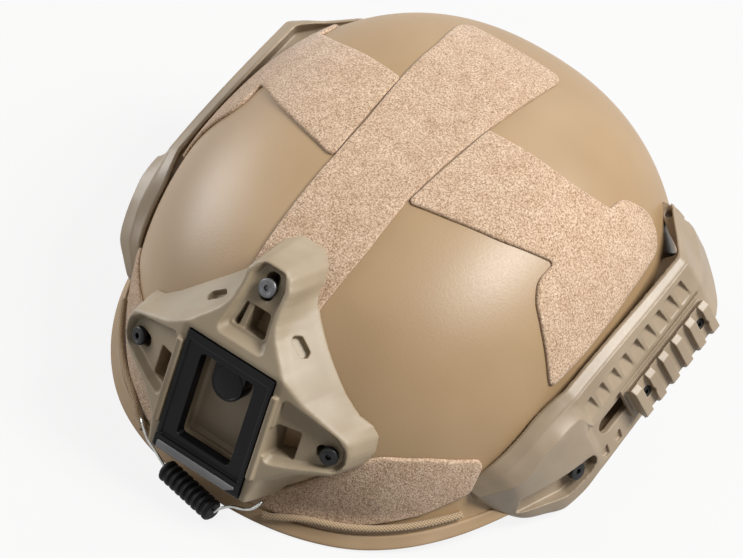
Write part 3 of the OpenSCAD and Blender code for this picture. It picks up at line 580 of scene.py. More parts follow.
@dataclass(frozen=True)
class PlatedSteel(Finish):
    """Turned or rolled steel, bright, zinc plated or blackened: a metal with fine marks of its making."""

    light: str = "#8f8f8d"
    dark: str = "#7d7d7b"
    roughness: float = 0.35
    metallic: float = 1.0
    marks: float = 0.6

    def dress(self, tree: bpy.types.NodeTree, shader: bpy.types.Node) -> None:
        """Sets the metal's colour, gloss and making marks.

        Args:
            tree: The material's node tree.
            shader: Its Principled shader.
        """
        where = add_node(tree, "ShaderNodeTexCoord").outputs["Object"]
        drift = self.mottled(tree, where, 3, [(0.35, self.dark), (0.65, self.light)])
        tree.links.new(drift.outputs[0], shader.inputs["Base Color"])
        self.grained(tree, shader, where, self.marks, self.roughness - 0.08, self.roughness + 0.1)
        shader.inputs["Metallic"].default_value = self.metallic


@dataclass(frozen=True)
class WovenFabric(Finish):
    """Plain woven or knitted synthetic: threads of a real pitch with a soft sheen."""

    light: str = "#3a3a3c"
    dark: str = "#17171a"
    pitch: float = 1.2
    depth: float = 0.25
    sheen: float = 0.3
    mapped: bool = True

    def dress(self, tree: bpy.types.NodeTree, shader: bpy.types.Node) -> None:
        """Sets crossing threads from two bands of waves on the piece's own UV map in mm, or along X and Y.

        Args:
            tree: The material's node tree.
            shader: Its Principled shader.
        """
        if self.mapped:
            where = add_node(tree, "ShaderNodeUVMap", uv_map="mm").outputs[0]
        else:
            place = add_node(tree, "ShaderNodeTexCoord").outputs["Object"]
            turn = add_node(tree, "ShaderNodeMapping", {"Rotation": (0.6, 0.5, 0.4), "Scale": (per_mm(1),) * 3},
                            {0: place})
            where = turn.outputs[0]
        split = add_node(tree, "ShaderNodeSeparateXYZ", links={0: where})
        waves = []
        for axis in (0, 1):
            turn = add_node(tree, "ShaderNodeMath", {1: 2 * math.pi / self.pitch}, {0: split.outputs[axis]},
                            operation="MULTIPLY")
            waves.append(add_node(tree, "ShaderNodeMath", links={0: turn.outputs[0]}, operation="SINE").outputs[0])
        cross = add_node(tree, "ShaderNodeMath", links={0: waves[0], 1: waves[1]}, operation="MULTIPLY")
        level = add_node(tree, "ShaderNodeMapRange", {"From Min": -1.0, "From Max": 1.0}, {"Value": cross.outputs[0]})
        fuzz = add_node(tree, "ShaderNodeTexNoise", {"Scale": 3.0, "Detail": 2.0}, {"Vector": where})
        blend = add_node(tree, "ShaderNodeMath", {1: 0.5}, {0: fuzz.outputs[0], 2: level.outputs[0]},
                         operation="MULTIPLY_ADD")
        ramp = add_node(tree, "ShaderNodeValToRGB", links={0: blend.outputs[0]})
        ramp.color_ramp.elements[0].position, ramp.color_ramp.elements[1].position = 0.3, 1.1 / 1.2
        ramp.color_ramp.elements[0].color, ramp.color_ramp.elements[1].color = linear(self.dark), linear(self.light)
        tree.links.new(ramp.outputs[0], shader.inputs["Base Color"])
        bump = add_node(tree, "ShaderNodeBump", {"Strength": 0.7, "Distance": self.depth * MM},
                        {"Height": level.outputs[0]})
        tree.links.new(bump.outputs[0], shader.inputs["Normal"])
        shader.inputs["Roughness"].default_value = 0.85
        shader.inputs["Sheen Weight"].default_value = self.sheen


PAINT = GrainedPaint("grained_tan_paint")
PILE = LoopPile("loop_pile")
MOUNT_NYLON = MouldedPolymer("moulded_nylon_mount", "#9a8b74", "#8f7f67", 0.5)
RAIL_NYLON = MouldedPolymer("moulded_nylon_rail", "#998872", "#8c7b65", 0.42)
TRIM_RUBBER = MouldedPolymer("extruded_rubber_trim", "#a58b6c", "#9a8060", 0.6, 0.8, 0.02)
BLACK_NYLON = MouldedPolymer("moulded_nylon_black", "#131314", "#0c0c0d", 0.32, 0.7, 0.015, 25.0, 0.16)
GLOSS_STRIP = MouldedPolymer("polished_grey_strip", "#858586", "#6c6c6e", 0.22, 2.0, 0.005)
BLACK_RUBBER = MouldedPolymer("moulded_black_rubber", "#19191a", "#101011", 0.55, 1.0, 0.04, 25.0, 0.2)
BLACK_FOAM = MouldedPolymer("expanded_black_foam", "#2c2c2e", "#1c1c1e", 0.85, 1.6, 0.25, 4.0)
ZINC_SCREW = PlatedSteel("zinc_plated_screw", "#6a6a6b", "#58585a", 0.42)
OXIDE_SCREW = PlatedSteel("black_oxide_screw", "#242425", "#161617", 0.35, 0.6)
BRIGHT_STEEL = PlatedSteel("bright_rolled_steel", "#b9b9b6", "#a3a3a0", 0.25)
CORD_SHEATH = WovenFabric("braided_cord_sheath", "#b59c7b", "#7f674b", 1.5, 0.35, 0.3)
PAD_KNIT = WovenFabric("brushed_knit_pad", "#38383b", "#1b1b1e", 1.6, 0.3, 0.4, False)
STRAP_WEAVE = WovenFabric("woven_nylon_strap", "#333336", "#141416", 1.8, 0.35, 0.3, False)


# Building meshes


def to_object(mesh: bpy.types.Mesh, name: str) -> bpy.types.Object:
    """Links a mesh as an object at the origin.

    Args:
        mesh: The mesh.
        name: The object's name.

    Returns:
        The new object.
    """
    made = bpy.data.objects.new(name, mesh)
    bpy.context.scene.collection.objects.link(made)
    return made


def from_bmesh(bm: bmesh.types.BMesh, name: str, outward: bool = True) -> bpy.types.Object:
    """Turns a bmesh into an object and frees it.

    Args:
        bm: The bmesh, in mm.
        name: The object's name.
        outward: Whether the normals are worked out again, for a closed shape.

    Returns:
        The new object.
    """
    if outward:
        bmesh.ops.recalc_face_normals(bm, faces=bm.faces)
    mesh = bpy.data.meshes.new(name)
    bm.to_mesh(mesh)
    bm.free()
    return to_object(mesh, name)


def baked(obj: bpy.types.Object) -> bpy.types.Object:
    """Applies an object's modifiers to its mesh.

    Args:
        obj: The object.

    Returns:
        The same object.
    """
    graph = bpy.context.evaluated_depsgraph_get()
    graph.update()
    mesh = bpy.data.meshes.new_from_object(obj.evaluated_get(graph))
    old = obj.data
    obj.modifiers.clear()
    obj.data = mesh
    bpy.data.meshes.remove(old)
    return obj


def joined(base: bpy.types.Object, others: Sequence[bpy.types.Object], how: Boolean) -> bpy.types.Object:
    """Joins solids into a base, one after the other, and removes them.

    Args:
        base: The solid that is kept.
        others: The solids that are united with it, cut from it or intersected with it.
        how: Which of these.

    Returns:
        The base.
    """
    for other in others:
        step = base.modifiers.new("join", "BOOLEAN")
        step.object, step.operation, step.solver = other, how.value, "MANIFOLD"
    baked(base)
    for other in others:
        mesh = other.data
        bpy.data.objects.remove(other)
        bpy.data.meshes.remove(mesh)
    return base


def softened(obj: bpy.types.Object, cell: float, passes: int, keep: float = 1.0) -> bpy.types.Object:
    """Gives a solid the small even radii of a moulding.

    The solid is resampled on a fine grid and its surface is smoothed a few times.

    Args:
        obj: The solid, in mm.
        cell: Width of the grid in mm.
        passes: Rounds of smoothing.
        keep: Share of the triangles that is kept at the end.

    Returns:
        The same object.
    """
    grid = obj.modifiers.new("grid", "REMESH")
    grid.mode, grid.voxel_size, grid.use_smooth_shade = "VOXEL", cell, True
    if passes:
        smooth = obj.modifiers.new("smooth", "SMOOTH")
        smooth.factor, smooth.iterations = 0.5, passes
    if keep < 1:
        thin = obj.modifiers.new("thin", "DECIMATE")
        thin.ratio = keep
    return baked(obj)


def cad_copy(nodes: dict[str, bpy.types.Object], name: str, back: Matrix | None = None) -> bpy.types.Object:
    """Copies a frame node's mesh in mm, merged.

    Args:
        nodes: The frame's nodes.
        name: The node.
        back: The matrix of the local frame in mm that the copy is brought back into.

    Returns:
        A new object.
    """
    bm = bmesh.new()
    bm.from_mesh(nodes[name].data)
    bmesh.ops.transform(bm, matrix=Matrix.Scale(1 / MM, 4), verts=bm.verts)
    if back is not None:
        bmesh.ops.transform(bm, matrix=back.inverted(), verts=bm.verts)
    bmesh.ops.remove_doubles(bm, verts=bm.verts, dist=1e-4)
    return from_bmesh(bm, name + "_copy", outward=False)


def prism(outline: Sequence[Sequence[float]], low: float, high: float, grow: float = 0.0) -> bpy.types.Object:
    """Extrudes a closed outline along Z.

    Args:
        outline: Points in XY, in order.
        low: Z of the foot.
        high: Z of the top.
        grow: Distance that the top is moved out from the foot's outline, for a draft.

    Returns:
        A new closed object.
    """
    bm = bmesh.new()
    points = [Vector((p[0], p[1], low)) for p in outline]
    face = bm.faces.new([bm.verts.new(p) for p in points])
    made = bmesh.ops.extrude_face_region(bm, geom=[face])
    top = [g for g in made["geom"] if isinstance(g, bmesh.types.BMVert)]
    count = len(points)
    turn = 1 if sum(points[i].x * points[(i + 1) % count].y - points[(i + 1) % count].x * points[i].y
                    for i in range(count)) > 0 else -1
    for vert in top:
        i = min(range(count), key=lambda k: (points[k] - vert.co).length)
        a = (points[i] - points[i - 1]).normalized()
        b = (points[(i + 1) % count] - points[i]).normalized()
        out = Vector((a.y + b.y, -a.x - b.x, 0)) * turn
        out = out.normalized() / max(0.3, math.sqrt(max(0.0, (1 + a.dot(b)) / 2)))
        vert.co += out * grow
        vert.co.z = high
    return from_bmesh(bm, "prism")


def cylinder(radius: float, low: float, high: float, matrix: Matrix | None = None, top_radius: float | None = None,
             sides: int = 48) -> bpy.types.Object:
    """Makes a cylinder or cone along Z.

    Args:
        radius: Radius of the foot.
        low: Z of the foot.
        high: Z of the top.
        matrix: Where it is put.
        top_radius: Radius of the top, if it differs.
        sides: Sides of the circle.

    Returns:
        A new closed object.
    """
    bm = bmesh.new()
    bmesh.ops.create_cone(bm, cap_ends=True, segments=sides, radius1=radius,
                          radius2=radius if top_radius is None else top_radius, depth=high - low)
    bmesh.ops.translate(bm, vec=(0, 0, (low + high) / 2), verts=bm.verts)
    if matrix is not None:
        bmesh.ops.transform(bm, matrix=matrix, verts=bm.verts)
    return from_bmesh(bm, "cylinder")


def block(low: Sequence[float], high: Sequence[float], matrix: Matrix | None = None, edge: float = 0.0,
          rounds: int = 3) -> bpy.types.Object:
    """Makes a block between two corners, with rounded edges if asked.

    Args:
        low: Lowest corner.
        high: Highest corner.
        matrix: Where it is put.
        edge: Radius of its edges.
        rounds: Segments of each rounded edge.

    Returns:
        A new closed object.
    """
    bm = bmesh.new()
    bmesh.ops.create_cube(bm, size=1)
    size = Vector(high) - Vector(low)
    bmesh.ops.scale(bm, vec=size, verts=bm.verts)
    bmesh.ops.translate(bm, vec=(Vector(high) + Vector(low)) / 2, verts=bm.verts)
    if edge:
        bmesh.ops.bevel(bm, geom=bm.edges[:], offset=edge, affect="EDGES", segments=rounds, profile=0.5, material=-1)
    if matrix is not None:
        bmesh.ops.transform(bm, matrix=matrix, verts=bm.verts)
    return from_bmesh(bm, "block")


def screw_head(width: float, high: float, place: Matrix, key: float = 3.0) -> bpy.types.Object:
    """Turns a low cap head with a hexagonal socket.

    Args:
        width: Diameter of the head.
        high: Height of the head.
        place: The frame that its underside sits on.
        key: Width of the socket over its corners.

    Returns:
        A new closed object.
    """
    r = width / 2
    profile = [(0, 0), (r - 0.2, 0), (r, 0.2), (r, high - 0.9), (r - 0.12, high - 0.5), (r - 0.45, high - 0.16),
               (r - 0.9, high), (r * 0.62, high), (r * 0.58, high - 0.12), (0, high - 0.12)]
    head = turned(profile, 56)
    socket = cylinder(key / 2, high - 1.6, high + 1, sides=6)
    joined(head, [socket], Boolean.CUT)
    head.data.transform(place)
    return head


def turned(profile: Sequence[tuple[float, float]], steps: int) -> bpy.types.Object:
    """Turns a profile round Z.

    Args:
        profile: Radii with heights, from the axis out and back to it.
        steps: Sides of the full turn.

    Returns:
        A new closed object.
    """
    bm = bmesh.new()
    chain = [bm.verts.new((x, 0, z)) for x, z in profile]
    edges = [bm.edges.new(pair) for pair in zip(chain, chain[1:])]
    bmesh.ops.spin(bm, geom=chain + edges, cent=(0, 0, 0), axis=(0, 0, 1), angle=2 * math.pi, steps=steps,
                   use_merge=True)
    return from_bmesh(merged(bm), "turned")


def funnel(low: Array, high: Array, foot: float, top: float, count: int = 120) -> bpy.types.Object:
    """Joins one closed outline at a height with another above it.

    Args:
        low: Points of the lower outline.
        high: Points of the upper outline, starting at the same place.
        foot: Z of the lower outline.
        top: Z of the upper outline.
        count: Points round each outline.

    Returns:
        A new closed object.
    """
    bm = bmesh.new()
    loops = []
    for outline, z in ((low, foot), (high, top)):
        closed = np.concatenate([outline, outline[:1]])
        way = np.concatenate([[0], np.cumsum(np.linalg.norm(np.diff(closed, axis=0), axis=1))])
        want = np.linspace(0, way[-1], count, endpoint=False)
        spots = np.column_stack([np.interp(want, way, closed[:, 0]), np.interp(want, way, closed[:, 1])])
        loops.append([bm.verts.new((x, y, z)) for x, y in spots])
    for loop in loops:
        bm.faces.new(loop)
    for i in range(count):
        j = (i + 1) % count
        bm.faces.new((loops[0][i], loops[0][j], loops[1][j], loops[1][i]))
    return from_bmesh(bm, "funnel")


def mapped_grid(across: int, along: int, rule: Callable[[Array, Array], Array],
                uv_size: tuple[float, float] | None = None) -> bmesh.types.BMesh:
    """Makes a grid and moves each of its points to where a rule puts it.

    Args:
        across: Faces in the first direction.
        along: Faces in the second direction.
        rule: Takes the shares from 0 to 1 in both directions and returns points in mm.
        uv_size: Size of the grid in mm for a UV map in mm, or None for no map.

    Returns:
        The open bmesh, its doubles not merged.
    """
    bm = bmesh.new()
    bmesh.ops.create_grid(bm, x_segments=across, y_segments=along, size=0.5)
    co = np.array([v.co for v in bm.verts])
    if uv_size:
        layer = bm.loops.layers.uv.new("mm")
        for face in bm.faces:
            for loop in face.loops:
                loop[layer].uv = ((loop.vert.co.x + 0.5) * uv_size[0], (loop.vert.co.y + 0.5) * uv_size[1])
    placed = rule(co[:, 0] + 0.5, co[:, 1] + 0.5)
    for vert, p in zip(bm.verts, placed):
        vert.co = p
    return bm


def merged(bm: bmesh.types.BMesh, dist: float = 1e-3) -> bmesh.types.BMesh:
    """Merges doubled points and drops faces that fold away.

    Args:
        bm: The bmesh.
        dist: Distance under which points are merged.

    Returns:
        The same bmesh.
    """
    bmesh.ops.remove_doubles(bm, verts=bm.verts, dist=dist)
    bmesh.ops.dissolve_degenerate(bm, edges=bm.edges, dist=1e-5)
    return bm


def settled(obj: bpy.types.Object, name: str, matrix: Matrix, finish: Finish, body: str = HELMET,
            stands_for: Sequence[str] = (), sharp: float = 40.0) -> bpy.types.Object:
    """Brings a piece from its local frame in mm to its place in metres, dresses it and hands it to its body.

    Args:
        obj: The piece, in mm.
        name: Its name.
        matrix: Its local frame in the row frame, in mm.
        finish: Its finish.
        body: The body that it rides on.
        stands_for: The frame nodes that it replaces.
        sharp: Edges that turn more than this many degrees stay sharp.

    Returns:
        The finished piece.
    """
    baked(obj)
    mesh = obj.data
    mesh.transform(Matrix.Scale(MM, 4) @ matrix)
    if matrix.determinant() < 0:
        mesh.flip_normals()
    mesh.materials.clear()
    mesh.materials.append(finish.material())
    mesh.polygons.foreach_set("material_index", [0] * len(mesh.polygons))
    mesh.shade_smooth()
    if sharp < 180:
        mesh.set_sharp_from_angle(angle=radians(sharp))
    obj.name, mesh.name = name, name
    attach(obj, body)
    if stands_for:
        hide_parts(*stands_for)
    LOG.info("%s: %d faces", name, len(mesh.polygons))
    return obj


def dressed(nodes: dict[str, bpy.types.Object], names: Sequence[str], finish: Finish) -> None:
    """Gives frame nodes that stay as they are their finish.

    Args:
        nodes: The frame's nodes.
        names: Those that are dressed.
        finish: Their finish.
    """
    for name in names:
        node = nodes[name]
        node.data.materials.clear()
        node.data.materials.append(finish.material())
        LOG.info("%s: frame node", name)


def sweep(points: Sequence[Sequence[float]], radius: float, name: str, step: float = 0.5, sides: int = 24,
          relief: Callable[[Array, Array], Array] | None = None) -> bpy.types.Object:
    """Sweeps a round section along a smooth curve through points, with closed ends.

    Args:
        points: Points in mm.
        radius: Radius in mm.
        name: Name of the mesh.
        step: Distance between rings in mm.
        sides: Sides of the section.
        relief: Takes the angle round and the way along in mm, and returns a height added to the radius.

    Returns:
        A new closed object with a UV map in mm.
    """
    chain = np.array(points, float)
    fine = smooth_chain(chain, step)
    way = np.concatenate([[0], np.cumsum(np.linalg.norm(np.diff(fine, axis=0), axis=1))])
    tangent = np.gradient(fine, axis=0)
    tangent /= np.linalg.norm(tangent, axis=1, keepdims=True)
    side = np.zeros_like(fine)
    first = np.cross(tangent[0], [0.0, 0.0, 1.0])
    if np.linalg.norm(first) < 1e-3:
        first = np.cross(tangent[0], [0.0, 1.0, 0.0])
    side[0] = first / np.linalg.norm(first)
    for i in range(1, len(fine)):
        s = side[i - 1] - tangent[i] * side[i - 1].dot(tangent[i])
        side[i] = s / np.linalg.norm(s)
    up = np.cross(tangent, side)
    last = len(fine) - 1

    def rule(u: Array, v: Array) -> Array:
        """Places the grid's points round the curve; the first and last rows close the ends.

        Args:
            u: Share of the way round.
            v: Share of the way along.

        Returns:
            Points in mm.
        """
        row = np.rint(v * (last + 2)).astype(int)
        i = np.clip(row - 1, 0, last)
        angle = 2 * np.pi * u
        high = radius + (relief(angle, way[i]) if relief else 0.0)
        reach = np.where((row == 0) | (row == last + 2), 0.0, high)[:, None]
        return fine[i] + reach * (side[i] * np.cos(angle)[:, None] + up[i] * np.sin(angle)[:, None])

    bm = mapped_grid(sides, last + 2, rule, (2 * math.pi * radius, float(way[-1])))
    return from_bmesh(merged(bm), name)


def smooth_chain(chain: Array, step: float) -> Array:
    """Draws a Catmull-Rom curve through points and samples it evenly.

    Args:
        chain: Points.
        step: Distance between samples.

    Returns:
        The samples, ends included.
    """
    padded = np.concatenate([[2 * chain[0] - chain[1]], chain, [2 * chain[-1] - chain[-2]]])
    rough = []
    for i in range(1, len(padded) - 2):
        t = np.linspace(0, 1, 24, endpoint=False)[:, None]
        rough.append(catmull(*padded[i - 1:i + 3], t))
    rough = np.concatenate(rough + [chain[-1:]])
    way = np.concatenate([[0], np.cumsum(np.linalg.norm(np.diff(rough, axis=0), axis=1))])
    count = max(2, int(way[-1] / step))
    want = np.linspace(0, way[-1], count + 1)
    return np.stack([np.interp(want, way, rough[:, k]) for k in range(rough.shape[1])], 1)


def rounded(corners: Sequence[tuple[float, float, float]], step: float = 1.0) -> Array:
    """Rounds the corners of a closed outline with arcs.

    Args:
        corners: Points with the radius of each corner.
        step: Distance between the outline's points.

    Returns:
        The outline's points in order, evenly spaced along each stretch.
    """
    count = len(corners)
    path: list[Array] = []
    for i, (x, y, radius) in enumerate(corners):
        p = np.array([x, y])
        a = np.array(corners[i - 1][:2]) - p
        b = np.array(corners[(i + 1) % count][:2]) - p
        la, lb = np.linalg.norm(a), np.linalg.norm(b)
        a, b = a / la, b / lb
        half = math.acos(max(-1, min(1, float(a.dot(b))))) / 2
        cut = min(radius / max(math.tan(half), 1e-6), 0.48 * la, 0.48 * lb)
        if cut < 1e-3 or half > 1.56:
            path.append(p[None])
            continue
        steps = max(2, int((math.pi - 2 * half) * cut * math.tan(half) / step) + 1)
        start, end = p + a * cut, p + b * cut
        t = np.linspace(0, 1, steps + 1)[:, None]
        # a conic through both tangent points, which is an arc when the legs are equal
        weight = math.sin(half)
        bottom = (1 - t) ** 2 + 2 * weight * t * (1 - t) + t ** 2
        path.append(((1 - t) ** 2 * start + 2 * weight * t * (1 - t) * p + t ** 2 * end) / bottom)
    loop = np.concatenate(path)
    out = []
    for i in range(len(loop)):
        a, b = loop[i], loop[(i + 1) % len(loop)]
        n = max(1, int(round(np.linalg.norm(b - a) / step)))
        out.append(a + (b - a) * np.linspace(0, 1, n, endpoint=False)[:, None])
    return np.concatenate(out)


def oblong(low: tuple[float, float], high: tuple[float, float], radius: float, step: float = 0.5) -> Array:
    """Outlines a rectangle with rounded corners.

    Args:
        low: Lowest corner.
        high: Highest corner.
        radius: Radius of its corners.
        step: Distance between the outline's points.

    Returns:
        The outline's points in order.
    """
    (a, b), (c, d) = low, high
    return rounded([(a, b, radius), (c, b, radius), (c, d, radius), (a, d, radius)], step)


def inside(outline: Array, points: Array) -> Array:
    """Tells which points lie inside a closed outline.

    Args:
        outline: Its points in order.
        points: X and Y of the points.

    Returns:
        True for each point inside.
    """
    x, y = points[:, 0], points[:, 1]
    hit = np.zeros(len(points), bool)
    for a, b in zip(outline, np.roll(outline, -1, axis=0)):
        if a[1] == b[1]:
            continue
        cross = (a[1] > y) != (b[1] > y)
        hit ^= cross & (x < (b[0] - a[0]) * (y - a[1]) / (b[1] - a[1]) + a[0])
    return hit


# Sub-assemblies


@dataclass
class Shell:
    """The painted shell and the rubber trim on its raw edge."""

    around: int = 300
    rows: int = 110
    low_share: float = 0.42
    bend_z: float = 52.0
    trim_gap: float = 0.25
    trim_high: float = 3.6

    def outer(self, u: Array, v: Array) -> Array:
        """Places the grid of the outer face.

        Args:
            u: Share of the way round.
            v: Share of the way from the rim to the crown.

        Returns:
            Points in the dome's frame.
        """
        angle = 360 * u - 180
        rim = DOME.rim_z(angle)
        z = rim + (self.bend_z - rim) * np.minimum(v / self.low_share, 1) ** 1.2
        low = DOME.at_height(angle, z, DOME.lip(angle, z))
        start = DOME.climb_of(self.bend_z)
        share = np.maximum(v - self.low_share, 0) / (1 - self.low_share)
        high = DOME.at_climb(angle, start + (90 - start) * share, 0.0 * angle)
        return np.where((v < self.low_share)[:, None], low, high)

    def shell(self) -> bpy.types.Object:
        """Builds the shell's wall.

        Returns:
            The finished piece.
        """
        bm = merged(mapped_grid(self.around, self.rows, self.outer), 1e-2)
        obj = from_bmesh(bm, "shell_skin")
        wall = obj.modifiers.new("wall", "SOLIDIFY")
        wall.thickness, wall.offset, wall.use_even_offset = DOME.wall, -1, True
        return settled(obj, "shell_painted", TO_ROW, PAINT, stands_for=["shell"], sharp=50)

    def trim(self) -> bpy.types.Object:
        """Builds the channel of rubber over the rim.

        Returns:
            The finished piece.
        """
        g, w, wall = self.trim_gap, DOME.trim_wall, DOME.wall
        corners = [(-g - w, g + w, 1.1), (-g - w, -wall - g - w, 1.1), (self.trim_high, -wall - g - w, 0.5),
                   (self.trim_high, -wall - g, 0.2), (-g, -wall - g, 0.3), (-g, g, 0.3), (self.trim_high, g, 0.2),
                   (self.trim_high, g + w, 0.5)]
        section = rounded(corners, 0.6)
        count = len(section)

        def rule(u: Array, v: Array) -> Array:
            """Places the grid's points along the rim and round the section."""
            i = np.rint(v * count).astype(int) % count
            return DOME.brim(360 * u - 180, section[i, 0], section[i, 1])

        bm = merged(mapped_grid(self.around, count, rule), 1e-3)
        return settled(from_bmesh(bm, "trim"), "rim_trim", TO_ROW, TRIM_RUBBER,
                       stands_for=["edge_trim"])

    def build(self) -> None:
        """Builds both pieces."""
        self.shell()
        self.trim()


class Chart(Enum):
    """Ways of laying a flat outline on the dome: round its front to rear axis, or round its upright axis."""

    OVER_THE_TOP = "top"
    ROUND_THE_RIM = "rim"


@dataclass
class LoopPanel:
    """A sheet of loop pile stuck to the shell, cut to an outline with rounded corners."""

    name: str
    node: str
    chart: Chart
    corners: Sequence[tuple[float, float, float, float]]
    thick: float = 1.5
    glue: float = 0.1
    spacing: float = 0.85
    edge: float = 0.9
    shag: float = 0.2
    chart_radius: float = 120.0
    rings: Sequence[float] = (0.3, 0.9)
    clear: float = 1.35

    def flat(self, p: Array) -> Array:
        """Lays dome points out flat.

        Args:
            p: Points in the dome's frame.

        Returns:
            Points of the chart, close to mm.
        """
        x, y, z = p[..., 0], p[..., 1], p[..., 2]
        if self.chart is Chart.OVER_THE_TOP:
            return self.chart_radius * np.stack([np.arctan2(x, z), np.arctan2(y, np.hypot(x, z))], -1)
        return self.chart_radius * np.stack([np.arctan2(x, np.abs(y)), np.arctan2(z, np.hypot(x, y))], -1)

    def laid(self, q: Array, offset: Array, front: float) -> Array:
        """Lays chart points on the shell.

        Args:
            q: Points of the chart.
            offset: How far each is lifted off the shell.
            front: Sign of y, for a panel that is laid round the rim.

        Returns:
            Points in the dome's frame.
        """
        a, b = q[..., 0] / self.chart_radius, q[..., 1] / self.chart_radius
        if self.chart is Chart.OVER_THE_TOP:
            d = np.stack([np.sin(a) * np.cos(b), np.sin(b), np.cos(a) * np.cos(b)], -1)
        else:
            d = np.stack([np.sin(a) * np.cos(b), front * np.cos(a) * np.cos(b), np.sin(b)], -1)
        return DOME.on_skin(d * DOME.height, offset)

    def build(self, side: Side = Side.LEFT) -> bpy.types.Object:
        """Builds the panel.

        Args:
            side: The side it is on; the outline is given for the left one.

        Returns:
            The finished piece.
        """
        given = np.array(self.corners, float)
        front = math.copysign(1, given[:, 1].mean())
        plane = self.flat(given[:, :3])
        outline = rounded([(p[0], p[1], r) for p, r in zip(plane, given[:, 3])], self.spacing * 0.8)
        tree = kdtree.KDTree(len(outline))
        for i, p in enumerate(outline):
            tree.insert((p[0], p[1], 0), i)
        tree.balance()

        def away(p: Array) -> float:
            """Returns how far a point of the chart lies from the outline."""
            return tree.find((p[0], p[1], 0))[2]

        step = np.roll(outline, -1, axis=0) - np.roll(outline, 1, axis=0)
        into = np.stack([-step[:, 1], step[:, 0]], 1) / np.linalg.norm(step, axis=1)[:, None]
        if not inside(outline, outline[:1] + into[:1] * 0.3)[0]:
            into = -into
        rings = [q for d in self.rings for q in outline + into * d if away(q) > d * 0.93]
        low, high = outline.min(0), outline.max(0)
        s = self.spacing
        xs, ys = np.meshgrid(np.arange(low[0], high[0], s), np.arange(low[1], high[1], s * 0.866))
        xs[1::2] += s / 2
        cells = np.stack([xs.ravel(), ys.ravel()], 1)
        cells = [q for q in cells[inside(outline, cells)] if away(q) > self.clear]
        points = [Vector(p) for p in (*outline, *rings, *cells)]
        count = len(outline)
        verts, _, faces, *_ = delaunay_2d_cdt(points, [(i, (i + 1) % count) for i in range(count)], [], 1, 1e-5)
        flat = np.array([(v[0], v[1]) for v in verts])
        rise = np.array([min(1.0, away(q) / self.edge) for q in flat])
        shape = self.thick * (0.35 + 0.65 * np.sqrt(1 - (1 - rise) ** 2))
        skin = self.laid(flat, self.glue + 0 * rise, front)
        tuft = np.array([noise.noise(Vector(p) * 0.9) + 0.6 * noise.noise(Vector(p) * 2.1) for p in skin])
        top = self.laid(flat, self.glue + shape + self.shag * tuft * rise, front)
        bm = bmesh.new()
        made = [bm.verts.new(p) for p in top]
        for face in faces:
            bm.faces.new([made[i] for i in face])
        foot = bmesh.ops.extrude_face_region(bm, geom=bm.faces[:])
        lower = [g for g in foot["geom"] if isinstance(g, bmesh.types.BMVert)]
        order = kdtree.KDTree(len(top))
        for i, p in enumerate(top):
            order.insert(p, i)
        order.balance()
        for vert in lower:
            vert.co = skin[order.find(vert.co)[1]]
        matrix = TO_ROW if side is Side.LEFT else TO_ROW @ FLIP_X
        return settled(from_bmesh(bm, self.name), self.name, matrix, PILE, stands_for=[self.node],
                       sharp=180)


@dataclass
class LoopPanels:
    """The cross of loop panels over the crown, the two at the brow and the one at the nape."""

    crown: Sequence[tuple[float, float, float, float]] = (
        (18.5, -97, 116, 2), (21.6, -64, 131, 40), (20.4, -32, 136, 30), (21.4, -8, 137, 30), (24, 20, 136, 8),
        (27, 50, 132, 40), (25.6, 73, 119, 5), (-29.5, 73, 119, 5), (-26, 50, 132, 40), (-24, 20, 136, 8),
        (-21.1, -8, 137, 30), (-20.2, -34, 136, 30), (-19.6, -64, 131, 40), (-18.5, -97, 116, 2))
    arm: Sequence[tuple[float, float, float, float]] = (
        (20.7, -33, 136.3, 2), (40, -27.4, 134, 60), (61, -19.4, 127, 60), (81.5, -6.7, 115, 1.2),
        (81.0, -18.5, 114, 9), (85.6, -25.4, 109, 14), (92.8, -30.2, 99, 30), (101.2, -36.4, 81, 16),
        (103.4, -37.7, 74.7, 3.5), (104.9, -13.5, 78, 40), (102.3, 22.9, 82, 40), (94, 52.5, 76.5, 9),
        (87, 56.5, 92, 16), (80.3, 45.5, 107.6, 10), (80.4, 34.6, 110.6, 1.2), (65.3, 26.6, 124, 60),
        (45, 24, 132, 60), (24.3, 20.8, 136.2, 2))
    brow: Sequence[tuple[float, float, float, float]] = (
        (16.5, -139.5, 33, 3), (34, -135, 31, 30), (60, -123.7, 31.6, 30), (82.7, -103, 35.0, 20),
        (95, -83.5, 40.5, 4), (96.2, -74.6, 57, 4), (82, -95, 67, 40), (64, -111, 71.6, 22), (46, -124, 58, 14),
        (30, -134, 44, 20))
    nape: Sequence[tuple[float, float, float, float]] = (
        (-48, 104, 46, 6), (-20, 114, 50, 40), (20, 114, 50, 40), (48, 104, 46, 6), (54, 104, 4, 6),
        (20, 117, -2, 40), (-20, 117, -2, 40), (-54, 104, 4, 6))

    def build(self) -> None:
        """Builds the six panels."""
        LoopPanel("crown_loop", "loop_crown", Chart.OVER_THE_TOP, self.crown).build()
        for side, word in ((Side.LEFT, "left"), (Side.RIGHT, "right")):
            LoopPanel(f"arm_loop_{word}", f"loop_side_{word}", Chart.OVER_THE_TOP, self.arm).build(side)
            LoopPanel(f"brow_loop_{word}", f"loop_brow_{word}", Chart.ROUND_THE_RIM, self.brow).build(side)
        LoopPanel("nape_loop", "loop_nape", Chart.ROUND_THE_RIM, self.nape).build()


